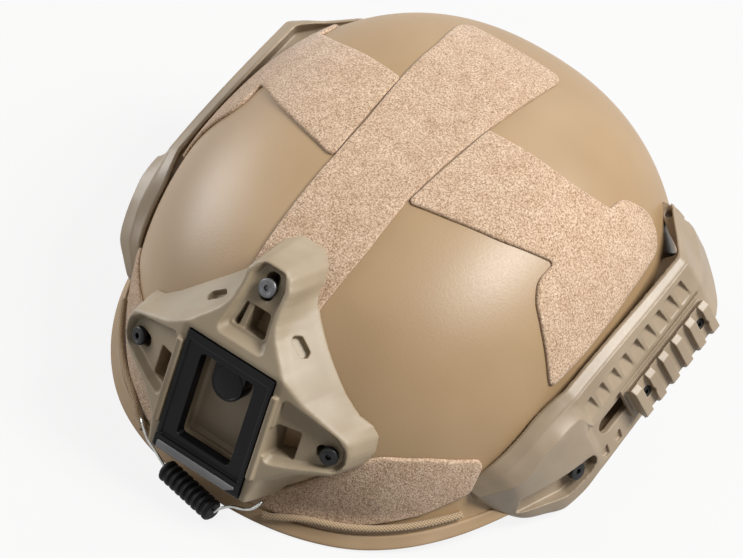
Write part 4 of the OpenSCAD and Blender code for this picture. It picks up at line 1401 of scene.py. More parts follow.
@dataclass
class FrontMount:
    """The moulded plate on the brow with its black frame, tab and screws.

    Its frame has X across, Y up along the plate and Z out of it. The plate's top is a field of heights: the
    flange climbs from the outline on the shell to the crest, and the crest is the upper hull of the frame's
    block and three bosses.
    """

    nodes: dict[str, bpy.types.Object]
    cell: float = 0.45
    grid: float = 0.6
    hem: float = 2.6
    wall_drop: float = 3.8
    wall_wide: float = 1.6
    least: float = 0.45
    foot_gap: float = 0.2
    beside: float = -14.0
    skirt: Sequence[tuple[float, float]] = (
        (28.6, -35.2), (35.5, -23), (40.6, -16.6), (46.6, -11), (56.5, -6.5), (61.8, -1.5), (64.4, 6), (63.6, 14.5),
        (60, 19), (54, 21.8), (45.7, 29.2), (34.9, 40.2), (23.8, 51), (18.6, 56.5), (15.6, 61), (14.6, 66),
        (12.2, 71.5), (6, 75.5))
    crest: Sequence[tuple[float, float]] = (
        (27.3, -34.2), (28.6, -26), (31, -18.5), (39.5, -11.5), (50, -7), (57.5, -4), (61.6, 1.5), (62.6, 8.5),
        (60.5, 14.4), (55.4, 17), (38, 24.6), (26.4, 33.6), (15.6, 45.5), (13, 51), (12, 58), (12.4, 66),
        (10.2, 70.8), (5, 73.4))
    side_turn: float = 20.0
    top_turn: float = 18.0
    side_hole: tuple[float, float, float] = (51.8, 4.6, -16)
    top_hole: tuple[float, float, float] = (0, 60, -16)
    head_high: float = 2.6
    shank: float = 2.0
    flank_slot: tuple[float, float, float] = (23.3, 43.9, -13.7)

    def twin(self, half: Sequence[tuple[float, float]], radius: float = 3.0) -> Array:
        """Mirrors half an outline and rounds its corners."""
        full = [(x, y, radius) for x, y in half] + [(-x, y, radius) for x, y in reversed(half)]
        return rounded(full, 0.8)

    def crest_height(self, flat: Array) -> Array:
        """Returns the height of the crest's hull over points, and a low one beside it.

        Args:
            flat: X and Y of the points.

        Returns:
            Z of each in the mount's frame.
        """
        bm = bmesh.new()
        corners = [Vector((x, y, 0)) for x in (-27.3, 27.3) for y in (-33, 32.5)]
        discs = [((0, 61.5, -9.6), Matrix.Rotation(radians(-17), 4, "X"), 12.6)]
        discs += [((s * 53, 4.6, -10.4), Matrix.Rotation(radians(s * self.side_turn), 4, "Y"), 12) for s in (-1, 1)]
        for middle, turn, r in discs:
            for k in range(40):
                a = k * math.pi / 20
                corners.append(Matrix.Translation(middle) @ turn @ Vector((r * math.cos(a), r * math.sin(a), 0)))
        verts = [bm.verts.new(c) for c in corners]
        bmesh.ops.convex_hull(bm, input=verts)
        tree = bvhtree.BVHTree.FromBMesh(bm)
        bm.free()
        hits = [tree.ray_cast(Vector((x, y, 50)), Vector((0, 0, -1)))[0] for x, y in flat]
        return np.array([hit.z if hit else self.beside for hit in hits])

    @staticmethod
    def nearest(flat: Array, outline: Array) -> tuple[Array, Array]:
        """Returns each point's distance to an outline and the number of the nearest point on it.

        Args:
            flat: X and Y of the points.
            outline: The outline's points.

        Returns:
            The distances and the numbers.
        """
        best, which = np.full(len(flat), 1e9), np.zeros(len(flat), int)
        for i, p in enumerate(outline):
            d = np.hypot(flat[:, 0] - p[0], flat[:, 1] - p[1])
            closer = d < best
            best, which = np.where(closer, d, best), np.where(closer, i, which)
        return best, which

    def field(self) -> bpy.types.Object:
        """Builds the block between the shell and the plate's heights, cut to the plate's outline.

        Returns:
            A new closed object.
        """
        skirt, crest = self.twin(self.skirt), self.twin(self.crest)
        low, high = skirt.min(0) - 3, skirt.max(0) + 3
        across, along = (int(n) for n in np.ceil((high - low) / self.grid))
        xs, ys = np.meshgrid(np.linspace(low[0], high[0], across + 1), np.linspace(low[1], high[1], along + 1))
        flat = np.stack([xs.ravel(), ys.ravel()], 1)
        skin = DOME.depth_under(ON_DOME, flat)
        rim_height = self.crest_height(crest)
        to_skirt, _ = self.nearest(flat, skirt)
        to_crest, which = self.nearest(flat, crest)
        to_skirt = np.where(inside(skirt, flat), to_skirt, 0)
        share = to_skirt / np.maximum(to_skirt + to_crest, 1e-6)
        hem = 0.5 + (self.hem - 0.5) * np.sqrt(1 - (1 - np.minimum(to_skirt / 2.0, 1)) ** 2)
        step_down = np.interp(np.abs(flat[:, 0]), [14, 20, 40], [self.wall_drop, self.wall_drop * 0.8, 1.0])
        wall = np.clip(1 - to_crest / self.wall_wide, 0, 1) ** 1.5
        slope = skin + hem + (rim_height[which] - step_down - skin - hem) * share ** 1.35 + step_down * wall
        heights = np.where(inside(crest, flat), self.crest_height(flat), slope).reshape(xs.shape)
        weights = np.array([1, 4, 6, 4, 1]) / 16
        padded = np.pad(heights, 2, mode="edge")
        padded = sum(w * padded[:, i:i + heights.shape[1]] for i, w in enumerate(weights))
        heights = sum(w * padded[i:i + heights.shape[0]] for i, w in enumerate(weights))
        heights = np.maximum(heights.ravel(), skin + self.least)
        step = (high - low) / (across, along)

        def rule(u: Array, v: Array) -> Array:
            """Places the grid's points on the plate's heights.

            Args:
                u: Share of the way across.
                v: Share of the way along.

            Returns:
                Points in mm.
            """
            column, row = np.rint(u * across).astype(int), np.rint(v * along).astype(int)
            i = row * (across + 1) + column
            return np.column_stack([flat[i], heights[i]])

        bm = mapped_grid(across, along, rule)
        foot = bmesh.ops.extrude_face_region(bm, geom=bm.faces[:])
        for vert in (g for g in foot["geom"] if isinstance(g, bmesh.types.BMVert)):
            column, row = round((vert.co.x - low[0]) / step[0]), round((vert.co.y - low[1]) / step[1])
            vert.co.z = skin[row * (across + 1) + column] + self.foot_gap
        return joined(from_bmesh(bm, "field"), [prism(skirt, -70, 30)], Boolean.COMMON)

    def wing(self, side: Side) -> Matrix:
        """Returns the frame of a lower screw: its origin in the hole, its Z along the screw."""
        s, (x, y, z) = side.value, self.side_hole
        return Matrix.Translation((s * x, y, z)) @ Matrix.Rotation(radians(s * self.side_turn), 4, "Y")

    def brace(self) -> Matrix:
        """Returns the frame of the top screw."""
        return Matrix.Translation(self.top_hole) @ Matrix.Rotation(radians(-self.top_turn), 4, "X")

    def top_cuts(self) -> list[bpy.types.Object]:
        """Returns the pocket over the frame with its window and the screw's slot.

        Returns:
            The solids to cut away.
        """
        half_low = [(11.0, -23.0), (9.6, -17.5), (8.2, -8), (8.0, 3), (5.2, 8.8)]
        half_high = [(17.0, -33.0), (14.2, -20.5), (11.4, -9), (10.8, 3.5), (7, 11.4)]
        place = self.brace()
        pocket = funnel(self.twin(half_low, 2.5), self.twin(half_high, 3.5), 3.0, 11.0)
        window = prism(rounded([(-9.0, -21.4, 1), (8.8, -21.4, 1), (6.6, -9.8, 1.2), (-6.8, -9.8, 1.2)], 0.5), -30, 6)
        slot = prism(oblong((-3.3, -6.0), (3.3, 7.4), 3), -30, 6)
        for cut in (pocket, window, slot):
            cut.data.transform(place)
        return [pocket, window, slot]

    def wing_cuts(self, side: Side) -> list[bpy.types.Object]:
        """Returns the pocket of one wing with its window, the screw's slot and the slot in the flank.

        Args:
            side: The side that the wing is on.

        Returns:
            The solids to cut away.
        """
        low = [(-10.4, -8.4), (-2, -6.8), (6, -4.6), (14, -2.2), (19.2, -1.8), (21.4, 3), (20.2, 8.4), (15.5, 12.4),
               (8, 15), (0, 17.6), (-7, 20), (-10.4, 20.6)]
        high = [(-12.4, -12.4), (-2, -10.4), (7, -8), (15, -5.6), (22.4, -4), (25.4, 3), (24, 11), (17.5, 16.6),
                (9, 19.2), (0, 22), (-7, 24.4), (-12.4, 26.4)]
        outlines = [rounded([(x, y, 2.5) for x, y in line], 0.6) for line in (low, high)]
        tilted = Matrix.Translation((38, 1, -9.5)) @ Matrix.Rotation(radians(self.side_turn), 4, "Y")
        pocket = funnel(outlines[0], outlines[1], 0.6, 8.6)
        pocket.data.transform(tilted)
        window = prism(rounded([(27.7, -6.4, 1), (38.8, -5.0, 1), (38.8, 9.4, 1), (27.7, 9.0, 1)], 0.5), -60, 6)
        slot = prism(oblong((-6.4, -2.9), (3.2, 2.9), 2.7), -30, 6)
        slot.data.transform(self.wing(Side.LEFT))
        along, out = Vector((0.794, -0.608, 0)), Vector((0.54, 0.704, 0.461))
        flank = prism(rounded([(-5.6, -1.0, 1), (-3.4, -3.0, 1), (4.4, -2.6, 1), (5.6, 0.2, 1), (4.0, 2.6, 1),
                               (-3.8, 2.6, 1)], 0.5), -3, 9)
        flank.data.transform(Matrix.LocRotScale(Vector(self.flank_slot),
                                                Matrix((along, out.cross(along), out)).transposed(), None))
        cuts = [pocket, window, slot, flank]
        if side is Side.RIGHT:
            for cut in cuts:
                cut.data.transform(FLIP_X)
                cut.data.flip_normals()
        return cuts

    def plate(self) -> bpy.types.Object:
        """Builds the moulded plate.

        Returns:
            The finished piece.
        """
        plate = self.field()
        ribs = [block((s * 26.2 - 1.5, -19.4, -4), (s * 26.2 + 1.5, 24.2, 2.2), edge=0.7) for s in (-1, 1)]
        recess = block((-24.1, -32.3, -4.4), (24.1, 30.7, 12))
        opening = block((-15, -21, -10.6), (15, 23.4, 0), edge=2.0)
        cuts = [*self.top_cuts(), *self.wing_cuts(Side.LEFT), *self.wing_cuts(Side.RIGHT), recess, opening]
        joined(plate, ribs, Boolean.UNION)
        joined(plate, cuts, Boolean.CUT)
        bars = [block((-5.6, -22, -9), (-2.6, -9, 2.4), self.brace()),
                block((-14.4, -22, -12), (14.4, -18.4, -9.2), edge=0.8)]
        joined(plate, bars, Boolean.UNION)
        softened(plate, self.cell, 2, 0.5)
        return settled(plate, "mount_plate", MOUNT, MOUNT_NYLON, stands_for=["shroud_body"], sharp=180)

    def frame(self) -> bpy.types.Object:
        """Builds the black frame with its catch.

        Returns:
            The finished piece.
        """
        bars = [block((s * 22.7 - 1.1, -30.3, -1), (s * 22.7 + 1.1, 30.3, 1.0), edge=0.3) for s in (-1, 1)]
        bars += [block((-23.8, 26.2, -1), (23.8, 30.3, 1.0), edge=0.3),
                 block((-23.8, -30.3, -1), (23.8, -24.0, 1.9), edge=0.4)]
        frame = block((-23.8, -32.0, -4.1), (23.8, 30.3, 0.1), edge=0.3)
        low, high = oblong((-13.6, -18.8), (13.6, 21.6), 1.5), oblong((-15, -20.6), (15, 23.4), 2.2)
        joined(frame, bars, Boolean.UNION)
        groove = block((-22, -25.4, 1.2), (22, -24.9, 3))
        joined(frame, [funnel(low, high, -5.0, 1.2), groove], Boolean.CUT)
        softened(frame, 0.26, 1, 0.4)
        return settled(frame, "mount_frame", MOUNT, BLACK_NYLON, stands_for=["shroud_insert"],
                       sharp=180)

    def strip(self) -> bpy.types.Object:
        """Builds the polished strip on the catch.

        Returns:
            The finished piece.
        """
        outline = rounded([(-21.4, -30.1, 0.4), (17.4, -30.1, 0.4), (21.4, -27.6, 0.3), (21.4, -26.4, 0.4),
                           (-21.4, -26.4, 0.4)], 0.6)
        strip = prism(outline, 1.6, 2.5)
        edge = strip.modifiers.new("edge", "BEVEL")
        edge.width, edge.segments, edge.limit_method = 0.25, 2, "ANGLE"
        return settled(strip, "mount_catch_strip", MOUNT, GLOSS_STRIP, sharp=30)

    def tab(self) -> bpy.types.Object:
        """Builds the round tab in the frame's recess.

        Returns:
            The finished piece.
        """
        profile = [(0, -10.4), (8.4, -10.4), (8.4, -3.4), (8.1, -2.9), (7.3, -2.8), (6.9, -3.1), (6.2, -2.9), (0, -2.7)]
        disc = turned(profile, 64)
        disc.data.transform(Matrix.Translation((0, 14, 0)))
        joined(disc, [block((-8.4, 15, -10.4), (8.4, 21.4, -3.2), edge=0.5)], Boolean.UNION)
        return settled(disc, "mount_tab", MOUNT, BLACK_NYLON, stands_for=["insert_boss"], sharp=35)

    def screw(self, place: Matrix, width: float, seat: float) -> list[bpy.types.Object]:
        """Returns a screw's head, whose underside lies at a height in a frame, and its shank."""
        return [screw_head(width, self.head_high, place @ Matrix.Translation((0, 0, seat))),
                cylinder(self.shank, -12, seat + 0.3, place)]

    def build(self) -> None:
        """Builds the plate, its frame, the tab and the screws."""
        self.plate()
        self.frame()
        self.strip()
        self.tab()
        top = self.screw(self.brace(), 9.0, 3.1)
        settled(joined(top[0], top[1:], Boolean.UNION), "mount_screw_top", MOUNT, ZINC_SCREW,
                stands_for=["shroud_screw_top"], sharp=30)
        lower = self.screw(self.wing(Side.LEFT), 8.6, 2.6) + self.screw(self.wing(Side.RIGHT), 8.6, 2.6)
        settled(joined(lower[0], lower[1:], Boolean.UNION), "mount_screws_lower", MOUNT, OXIDE_SCREW,
                stands_for=["shroud_screws_lower"], sharp=30)
        dressed(self.nodes, ["shroud_nuts"], BRIGHT_STEEL)


@dataclass
class SideRail:
    """A slotted side rail with its sliding accessory rail.

    Its frame has X to the rear along the helmet, Y up its face and Z out of it. The body is a loft through
    sections that are listed along its length, each from the inner foot round to the outer foot.
    """

    nodes: dict[str, bpy.types.Object]
    side: Side
    cell: float = 0.42
    along: Sequence[float] = (-60, -55, -48, -40, -30, -20, -9, -3, 79, 85, 92, 99, 103)
    low: Sequence[float] = (14, 0, -12, -18, -23, -22.5, -20.2, -19.9, -17, -16, -13, -8, -4)
    face: Sequence[float] = (-17.5, -14.5, -10.8, -8, -4.2, -1.8, -0.2, 0, 0, -2.5, -8, -15, -19.5)
    foot: Sequence[float] = (17, 10, 10, 10, 10, 10, 10.8, 10.9, 10.9, 8.5, 10.5, 12.5, 13.5)
    foot_high: Sequence[float] = (-17, -12.6, -5.5, -2, 1.1, 3.2, 4.2, 0, 0, -2.5, -8, -15, -19.5)
    fold: Sequence[float] = (18, 18.5, 19.5, 22, 26, 27.5, 26, 11.5, 11.5, 10.5, 11.6, 13.2, 14.2)
    fold_high: Sequence[float] = (-16.5, -10.5, -3, 0.8, 3.8, 6, 6.5, 4.4, 2.2, -1.6, -8.1, -15.2, -19.7)
    ledge: Sequence[float] = (20.5, 23, 25.5, 27.5, 30.5, 32.5, 33, 33, 27, 26.5, 25.4, 25, 25)
    ledge_high: Sequence[float] = (-19.5, -14.5, -8, -4.2, -1, 0.8, 2.6, 3.6, 0.6, -4.5, -12.8, -20, -24)
    top: Sequence[float] = (22, 25.5, 29, 30.8, 33.2, 35.6, 37, 37, 30, 29.5, 28.4, 28.5, 28)
    top_high: Sequence[float] = (-21.8, -18.6, -13, -9.8, -7, -5, -1.8, -0.4, -3, -7.5, -14.8, -21.8, -25.8)
    core: Sequence[float] = (20, 23, 26, 28, 30, 31, 32, 32, 20, 21, 24.5, 26, 26)
    inner: Sequence[float] = (-34, -32, -30, -28, -26, -24, -18, -18, -18, -13, -22, -31, -33)
    notches: int = 9
    pitch: float = 8.65
    screw_seat: float = -4.4
    slot_long: float = 78.0
    slot_half: float = 4.3
    eye: tuple[float, float, float] = (99, 15, -26)
    eye_radius: float = 2.1

    def eased(self, values: Sequence[float], t: Array) -> Array:
        """Reads a list given at the sections anywhere between them, smoothly and without overshoot.

        Args:
            values: Readings at the sections.
            t: Places along the rail in mm.

        Returns:
            The readings there.
        """
        x, y = np.array(self.along, float), np.array(values, float)
        rise = np.diff(y) / np.diff(x)
        tangent = np.zeros(len(x))
        same = rise[1:] * rise[:-1] > 0
        tangent[1:-1][same] = 2 * rise[1:][same] * rise[:-1][same] / (rise[1:] + rise[:-1])[same]
        tangent[0], tangent[-1] = rise[0], rise[-1]
        i = np.clip(np.searchsorted(x, t, side="right") - 1, 0, len(x) - 2)
        h = x[i + 1] - x[i]
        s = (t - x[i]) / h
        return (y[i] * (2 * s ** 3 - 3 * s ** 2 + 1) + h * tangent[i] * (s ** 3 - 2 * s ** 2 + s)
                + y[i + 1] * (3 * s ** 2 - 2 * s ** 3) + h * tangent[i + 1] * (s ** 3 - s ** 2))

    def body(self) -> bpy.types.Object:
        """Lofts the rail's body.

        Returns:
            A new closed object.
        """
        t = np.concatenate([np.arange(-60, -2.9, 0.8), np.arange(-2, 79, 3), np.arange(79, 103.1, 0.8)])
        read = {name: self.eased(getattr(self, name), t) for name in (
            "low", "face", "foot", "foot_high", "fold", "fold_high", "ledge", "ledge_high", "top", "top_high",
            "core", "inner")}
        shelf = read["top_high"] - 1.7
        pairs = [(read["low"], read["inner"]), (read["core"], read["inner"]), (read["core"], shelf),
                 (read["top"], shelf), (read["top"], read["top_high"]), (read["ledge"] + 0.6, read["ledge_high"] - 1.2),
                 (read["ledge"], read["ledge_high"]), (read["fold"], read["fold_high"]),
                 (read["foot"], read["foot_high"]), (read["low"] + 2, read["face"]), (read["low"], read["face"] - 1.6)]
        bm = bmesh.new()
        rings = [[bm.verts.new((t[i], y[i], z[i])) for y, z in pairs] for i in range(len(t))]
        for one, other in zip(rings, rings[1:]):
            for k in range(len(one)):
                j = (k + 1) % len(one)
                bm.faces.new((one[k], one[j], other[j], other[k]))
        for ring in (rings[0], rings[-1]):
            bm.faces.new(ring)
        bmesh.ops.triangulate(bm, faces=bm.faces)
        return from_bmesh(bm, "rail_body")

    def scoop(self, k: int) -> bpy.types.Object:
        """Returns the cut of one notch: a dark wall at its upper end and a floor that runs out below.

        Args:
            k: The notch's number from the front.

        Returns:
            A new closed object.
        """
        corners = [(-2.3, 3.6, -2.5), (2.3, 3.6, -2.5), (-2.9, 3.9, 3), (2.9, 3.9, 3), (-3.5, -7.4, 0.1),
                   (3.5, -7.4, 0.1), (-3.5, -7.4, 3), (3.5, -7.4, 3), (-2.1, 0.4, -2.4), (2.1, 0.4, -2.4)]
        bm = bmesh.new()
        made = bmesh.ops.convex_hull(bm, input=[bm.verts.new(c) for c in corners])
        bmesh.ops.delete(bm, geom=[g for g in made["geom_interior"] if isinstance(g, bmesh.types.BMVert)],
                         context="VERTS")
        place = Matrix.Translation((0.2 + k * self.pitch, 22.6 - 0.22 * k, 3.9 - 0.29 * k))
        bmesh.ops.transform(bm, matrix=place @ Matrix.Rotation(radians(-3), 4, "X"), verts=bm.verts)
        return from_bmesh(bm, "scoop")

    def cuts(self) -> list[bpy.types.Object]:
        """Returns the rail's slot, hollows, notches, screw pockets and the eye in its rear lug.

        Returns:
            The solids to cut away.
        """
        slot = prism(oblong((0, -self.slot_half), (self.slot_long, self.slot_half), 4.2), -20, 10)
        hollow = block((-2, -9, -20), (81, 8, -3.2))
        small = [prism([(x - 2.6, -10.8), (x + 2.6, -9.8), (x + 1.5, -15.4), (x - 1.5, -15.4)], -1.6, 4)
                 for x in (-2.4, 7)]
        channel = prism(rounded([(0, -8, 3), (-1.2, -4.6, 2), (-5, -2.6, 2), (-18, 1, 3), (-40, 6.4, 1), (-44, -4, 1),
                                 (-20, -14.5, 3), (-6, -13.6, 3), (-1.4, -11.6, 2)], 0.7), 0, 20)
        channel.data.transform(Matrix.Translation((-8, 0, 0)) @ Matrix.Rotation(radians(-10), 4, "Y")
                               @ Matrix.Translation((0, 0, -4.6)))
        screw = Matrix.Translation((*FRONT_SCREW, 0))
        rear = Matrix.Translation((88, 6, -26)) @ Matrix.Rotation(radians(24), 4, "Y")
        holes = [cylinder(2.4, -40, 20, screw), cylinder(4.7, self.screw_seat, 13, screw), cylinder(2.4, -30, 12, rear)]
        lug = block((94.5, -12, -46), (108.5, 20.5, -21))
        eye = cylinder(self.eye_radius, 0, 20, Matrix.Translation(self.eye) @ Matrix.Rotation(radians(-90), 4, "X"))
        return [slot, hollow, *small, channel, *holes, lug, eye, *(self.scoop(k) for k in range(self.notches))]

    def build(self) -> None:
        """Builds the rail and what slides on it."""
        word = self.side.name.lower()
        rail = joined(self.body(), self.cuts(), Boolean.CUT)
        softened(rail, self.cell, 1, 0.45)
        matrix = RAIL if self.side is Side.LEFT else FLIP_X @ RAIL
        settled(rail, f"side_rail_{word}", matrix, RAIL_NYLON, stands_for=[f"rail_{word}"], sharp=180)
        if self.side is Side.LEFT:
            self.accessory()

    def accessory(self) -> None:
        """Builds the accessory rail that slides along the left rail's slot."""
        top = softened(cad_copy(self.nodes, "adapter_left"), 0.3, 1, 0.5)
        settled(top, "accessory_rail_left", Matrix(), RAIL_NYLON, "adapter_left", ["adapter_left"], 180)
        dressed(self.nodes, ["adapter_screws_left"], OXIDE_SCREW)
        dressed(self.nodes, ["clamp_left"], BRIGHT_STEEL)


@dataclass
class RailScrews:
    """The four screws that hold the rails; the heads of the front ones sit near the face."""

    nodes: dict[str, bpy.types.Object]
    middle: tuple[float, float] = FRONT_SCREW
    lift: float = 2.6

    def build(self) -> None:
        """Copies the frame's screws and moves the front heads out to the rails' pockets."""
        screws = cad_copy(self.nodes, "rail_screws")
        back = RAIL.inverted()
        for vert in screws.data.vertices:
            mirror = FLIP_X if vert.co.x < 0 else Matrix()
            p = back @ (mirror @ vert.co)
            if math.hypot(p.x - self.middle[0], p.y - self.middle[1]) < 6 and p.z > -8.2:
                p.z += self.lift
                vert.co = mirror @ (RAIL @ p)
        edge = screws.modifiers.new("edge", "BEVEL")
        edge.width, edge.segments, edge.limit_method, edge.angle_limit = 0.3, 2, "ANGLE", radians(50)
        settled(screws, "rail_screws_fitted", Matrix(), OXIDE_SCREW, stands_for=["rail_screws"],
                sharp=30)


@dataclass
class Lashing:
    """The bungee cords over the brim, their wire hooks and the ribbed sleeve between them."""

    cord_d: float = 3.2
    wire_d: float = 1.4
    braid_pitch: float = 3.2
    strands: int = 6
    last_angle: float = 53.0
    samples: int = 29
    runs: Sequence[tuple[Side, float, float]] = ((Side.LEFT, 11, 23), (Side.RIGHT, 19, 31))
    sleeve_length: float = 32.0
    sleeve_radius: float = 4.0
    sleeve_place: tuple[float, float, float] = (-5.3, -159, 1.1)
    sleeve_turn: float = -10.8
    rib_pitch: float = 3.6
    rib_high: float = 1.2
    hook_left: Sequence[tuple[float, float, float]] = (
        (11, -162.1, 1.5), (13.2, -161, 4.4), (17, -158.4, 6.6), (21.5, -155.6, 6.2), (25, -153.8, 7.6),
        (27.2, -152.4, 10.4), (27.4, -150.8, 11.4), (27.3, -149.4, 9.6))
    hook_right: Sequence[tuple[float, float, float]] = (
        (-21.6, -155.9, 1.5), (-25, -155.2, 3.4), (-30, -153.8, 5.2), (-35.5, -152, 6.6), (-40, -149.6, 8.8),
        (-43, -147.4, 9.8), (-44.6, -145.6, 8.6), (-44.6, -144.4, 6.4))

    def cord(self, side: Side, first: float, bend: float) -> bpy.types.Object:
        """Builds one braided cord in the step over the brim.

        Args:
            side: The side it runs along.
            first: Plan angle of its front end.
            bend: Plan angle before which it drops toward the rim.

        Returns:
            The finished cord.
        """
        angle = np.linspace(first, self.last_angle, self.samples)
        above = 7.6 - 0.03 * np.maximum(0, bend - angle) ** 2
        ease = np.clip((8 - above) / 2.4, 0, 1)
        route = DOME.brim(angle, above, self.cord_d / 2 + 0.4 + 1.42 * ease)

        def braid(turn: Array, way: Array) -> Array:
            """Returns the height of the crossing strands.

            Args:
                turn: Angles round the cord.
                way: Distances along it in mm.

            Returns:
                Heights in mm.
            """
            along = 2 * math.pi * way / self.braid_pitch
            one, other = np.cos(self.strands * turn / 2 + along), np.cos(self.strands * turn / 2 - along)
            return 0.16 * np.maximum(np.abs(one), np.abs(other)) - 0.12

        word = side.name.lower()
        cord = sweep(route, self.cord_d / 2 - 0.04, "cord", 0.45, 24, braid)
        matrix = TO_ROW if side is Side.LEFT else TO_ROW @ FLIP_X
        return settled(cord, f"bungee_cord_{word}", matrix, CORD_SHEATH,
                       stands_for=[f"bungee_{word}"], sharp=180)

    def sleeve(self) -> bpy.types.Object:
        """Builds the ribbed rubber sleeve.

        Returns:
            The finished piece.
        """
        half = self.sleeve_length / 2

        def ribs(turn: Array, way: Array) -> Array:
            """Returns the height of the ribs along the sleeve."""
            return self.rib_high * np.clip(0.5 + 1.2 * np.cos(2 * math.pi * (way - half) / self.rib_pitch), 0, 1)

        sleeve = sweep([(-half, 0, 0), (0, 0, 0), (half, 0, 0)], self.sleeve_radius, "sleeve", 0.3, 40, ribs)
        place = LEVEL @ Matrix.Translation(self.sleeve_place) @ Matrix.Rotation(radians(self.sleeve_turn), 4, "Z")
        return settled(sleeve, "cord_sleeve", place, BLACK_RUBBER, stands_for=["bungee_sleeve"],
                       sharp=60)

    def build(self) -> None:
        """Builds the cords, the sleeve and the hooks."""
        for run in self.runs:
            self.cord(*run)
        self.sleeve()
        for word, points in (("left", self.hook_left), ("right", self.hook_right)):
            hook = sweep(points, self.wire_d / 2, "hook", 0.4, 16)
            settled(hook, f"cord_hook_{word}", LEVEL, BRIGHT_STEEL,
                    stands_for=[f"wire_hook_{word}"], sharp=180)


@dataclass
class Liner:
    """Foam blocks and comfort pads inside the bowl, and the cushion on the nape rest."""

    nodes: dict[str, bpy.types.Object]
    foam_cell: float = 1.2
    pad_cell: float = 1.0

    def cushion(self, node: str, name: str, body: str = HELMET) -> None:
        """Builds a padded piece from the frame's block.

        Args:
            node: The frame node that it stands for.
            name: The piece's name.
            body: The body that it rides on.
        """
        piece = settled(softened(cad_copy(self.nodes, node), self.pad_cell, 6), name, Matrix(), PAD_KNIT,
                        body, [node], 180)

    def build(self) -> None:
        """Builds the foam blocks and the cushions on them."""
        for name in ("crown", "front", "rear", "left", "right"):
            foam = softened(cad_copy(self.nodes, f"liner_{name}"), self.foam_cell, 2)
            settled(foam, f"foam_{name}", Matrix(), BLACK_FOAM, stands_for=[f"liner_{name}"], sharp=180)
            self.cushion(f"pad_{name}", f"comfort_pad_{name}")
        self.cushion("nape_pad", "nape_cushion", "nape_rest")


@dataclass
class Harness:
    """Chin strap, side webbing and buckle, with the headband and its dial."""

    nodes: dict[str, bpy.types.Object]
    webbing: Sequence[str] = ("strap_left", "strap_right", "chin_strap_left", "chin_strap_right")
    moulded: Sequence[tuple[str, str]] = (
        ("headband", HELMET), ("nape_cradle", "nape_rest"), ("dial_housing", "nape_rest"), ("dial_knob", "dial"),
        ("strap_tabs", HELMET), ("slider_left", HELMET), ("slider_right", HELMET), ("buckle_socket", HELMET),
        ("buckle_plug", "plug"), ("chin_cup", HELMET))
    cell: float = 0.35
    band_cell: float = 0.5

    def build(self) -> None:
        """Weaves the webbing and rounds the moulded pieces."""
        for name in self.webbing:
            web = cad_copy(self.nodes, name)
            settled(web, f"webbing_{name}", Matrix(), STRAP_WEAVE, stands_for=[name])
        for name, body in self.moulded:
            cell = self.band_cell if name == "headband" else self.cell
            piece = softened(cad_copy(self.nodes, name), cell, 1, 0.5)
            settled(piece, f"{name}_moulded", Matrix(), BLACK_NYLON, body, [name], 180)


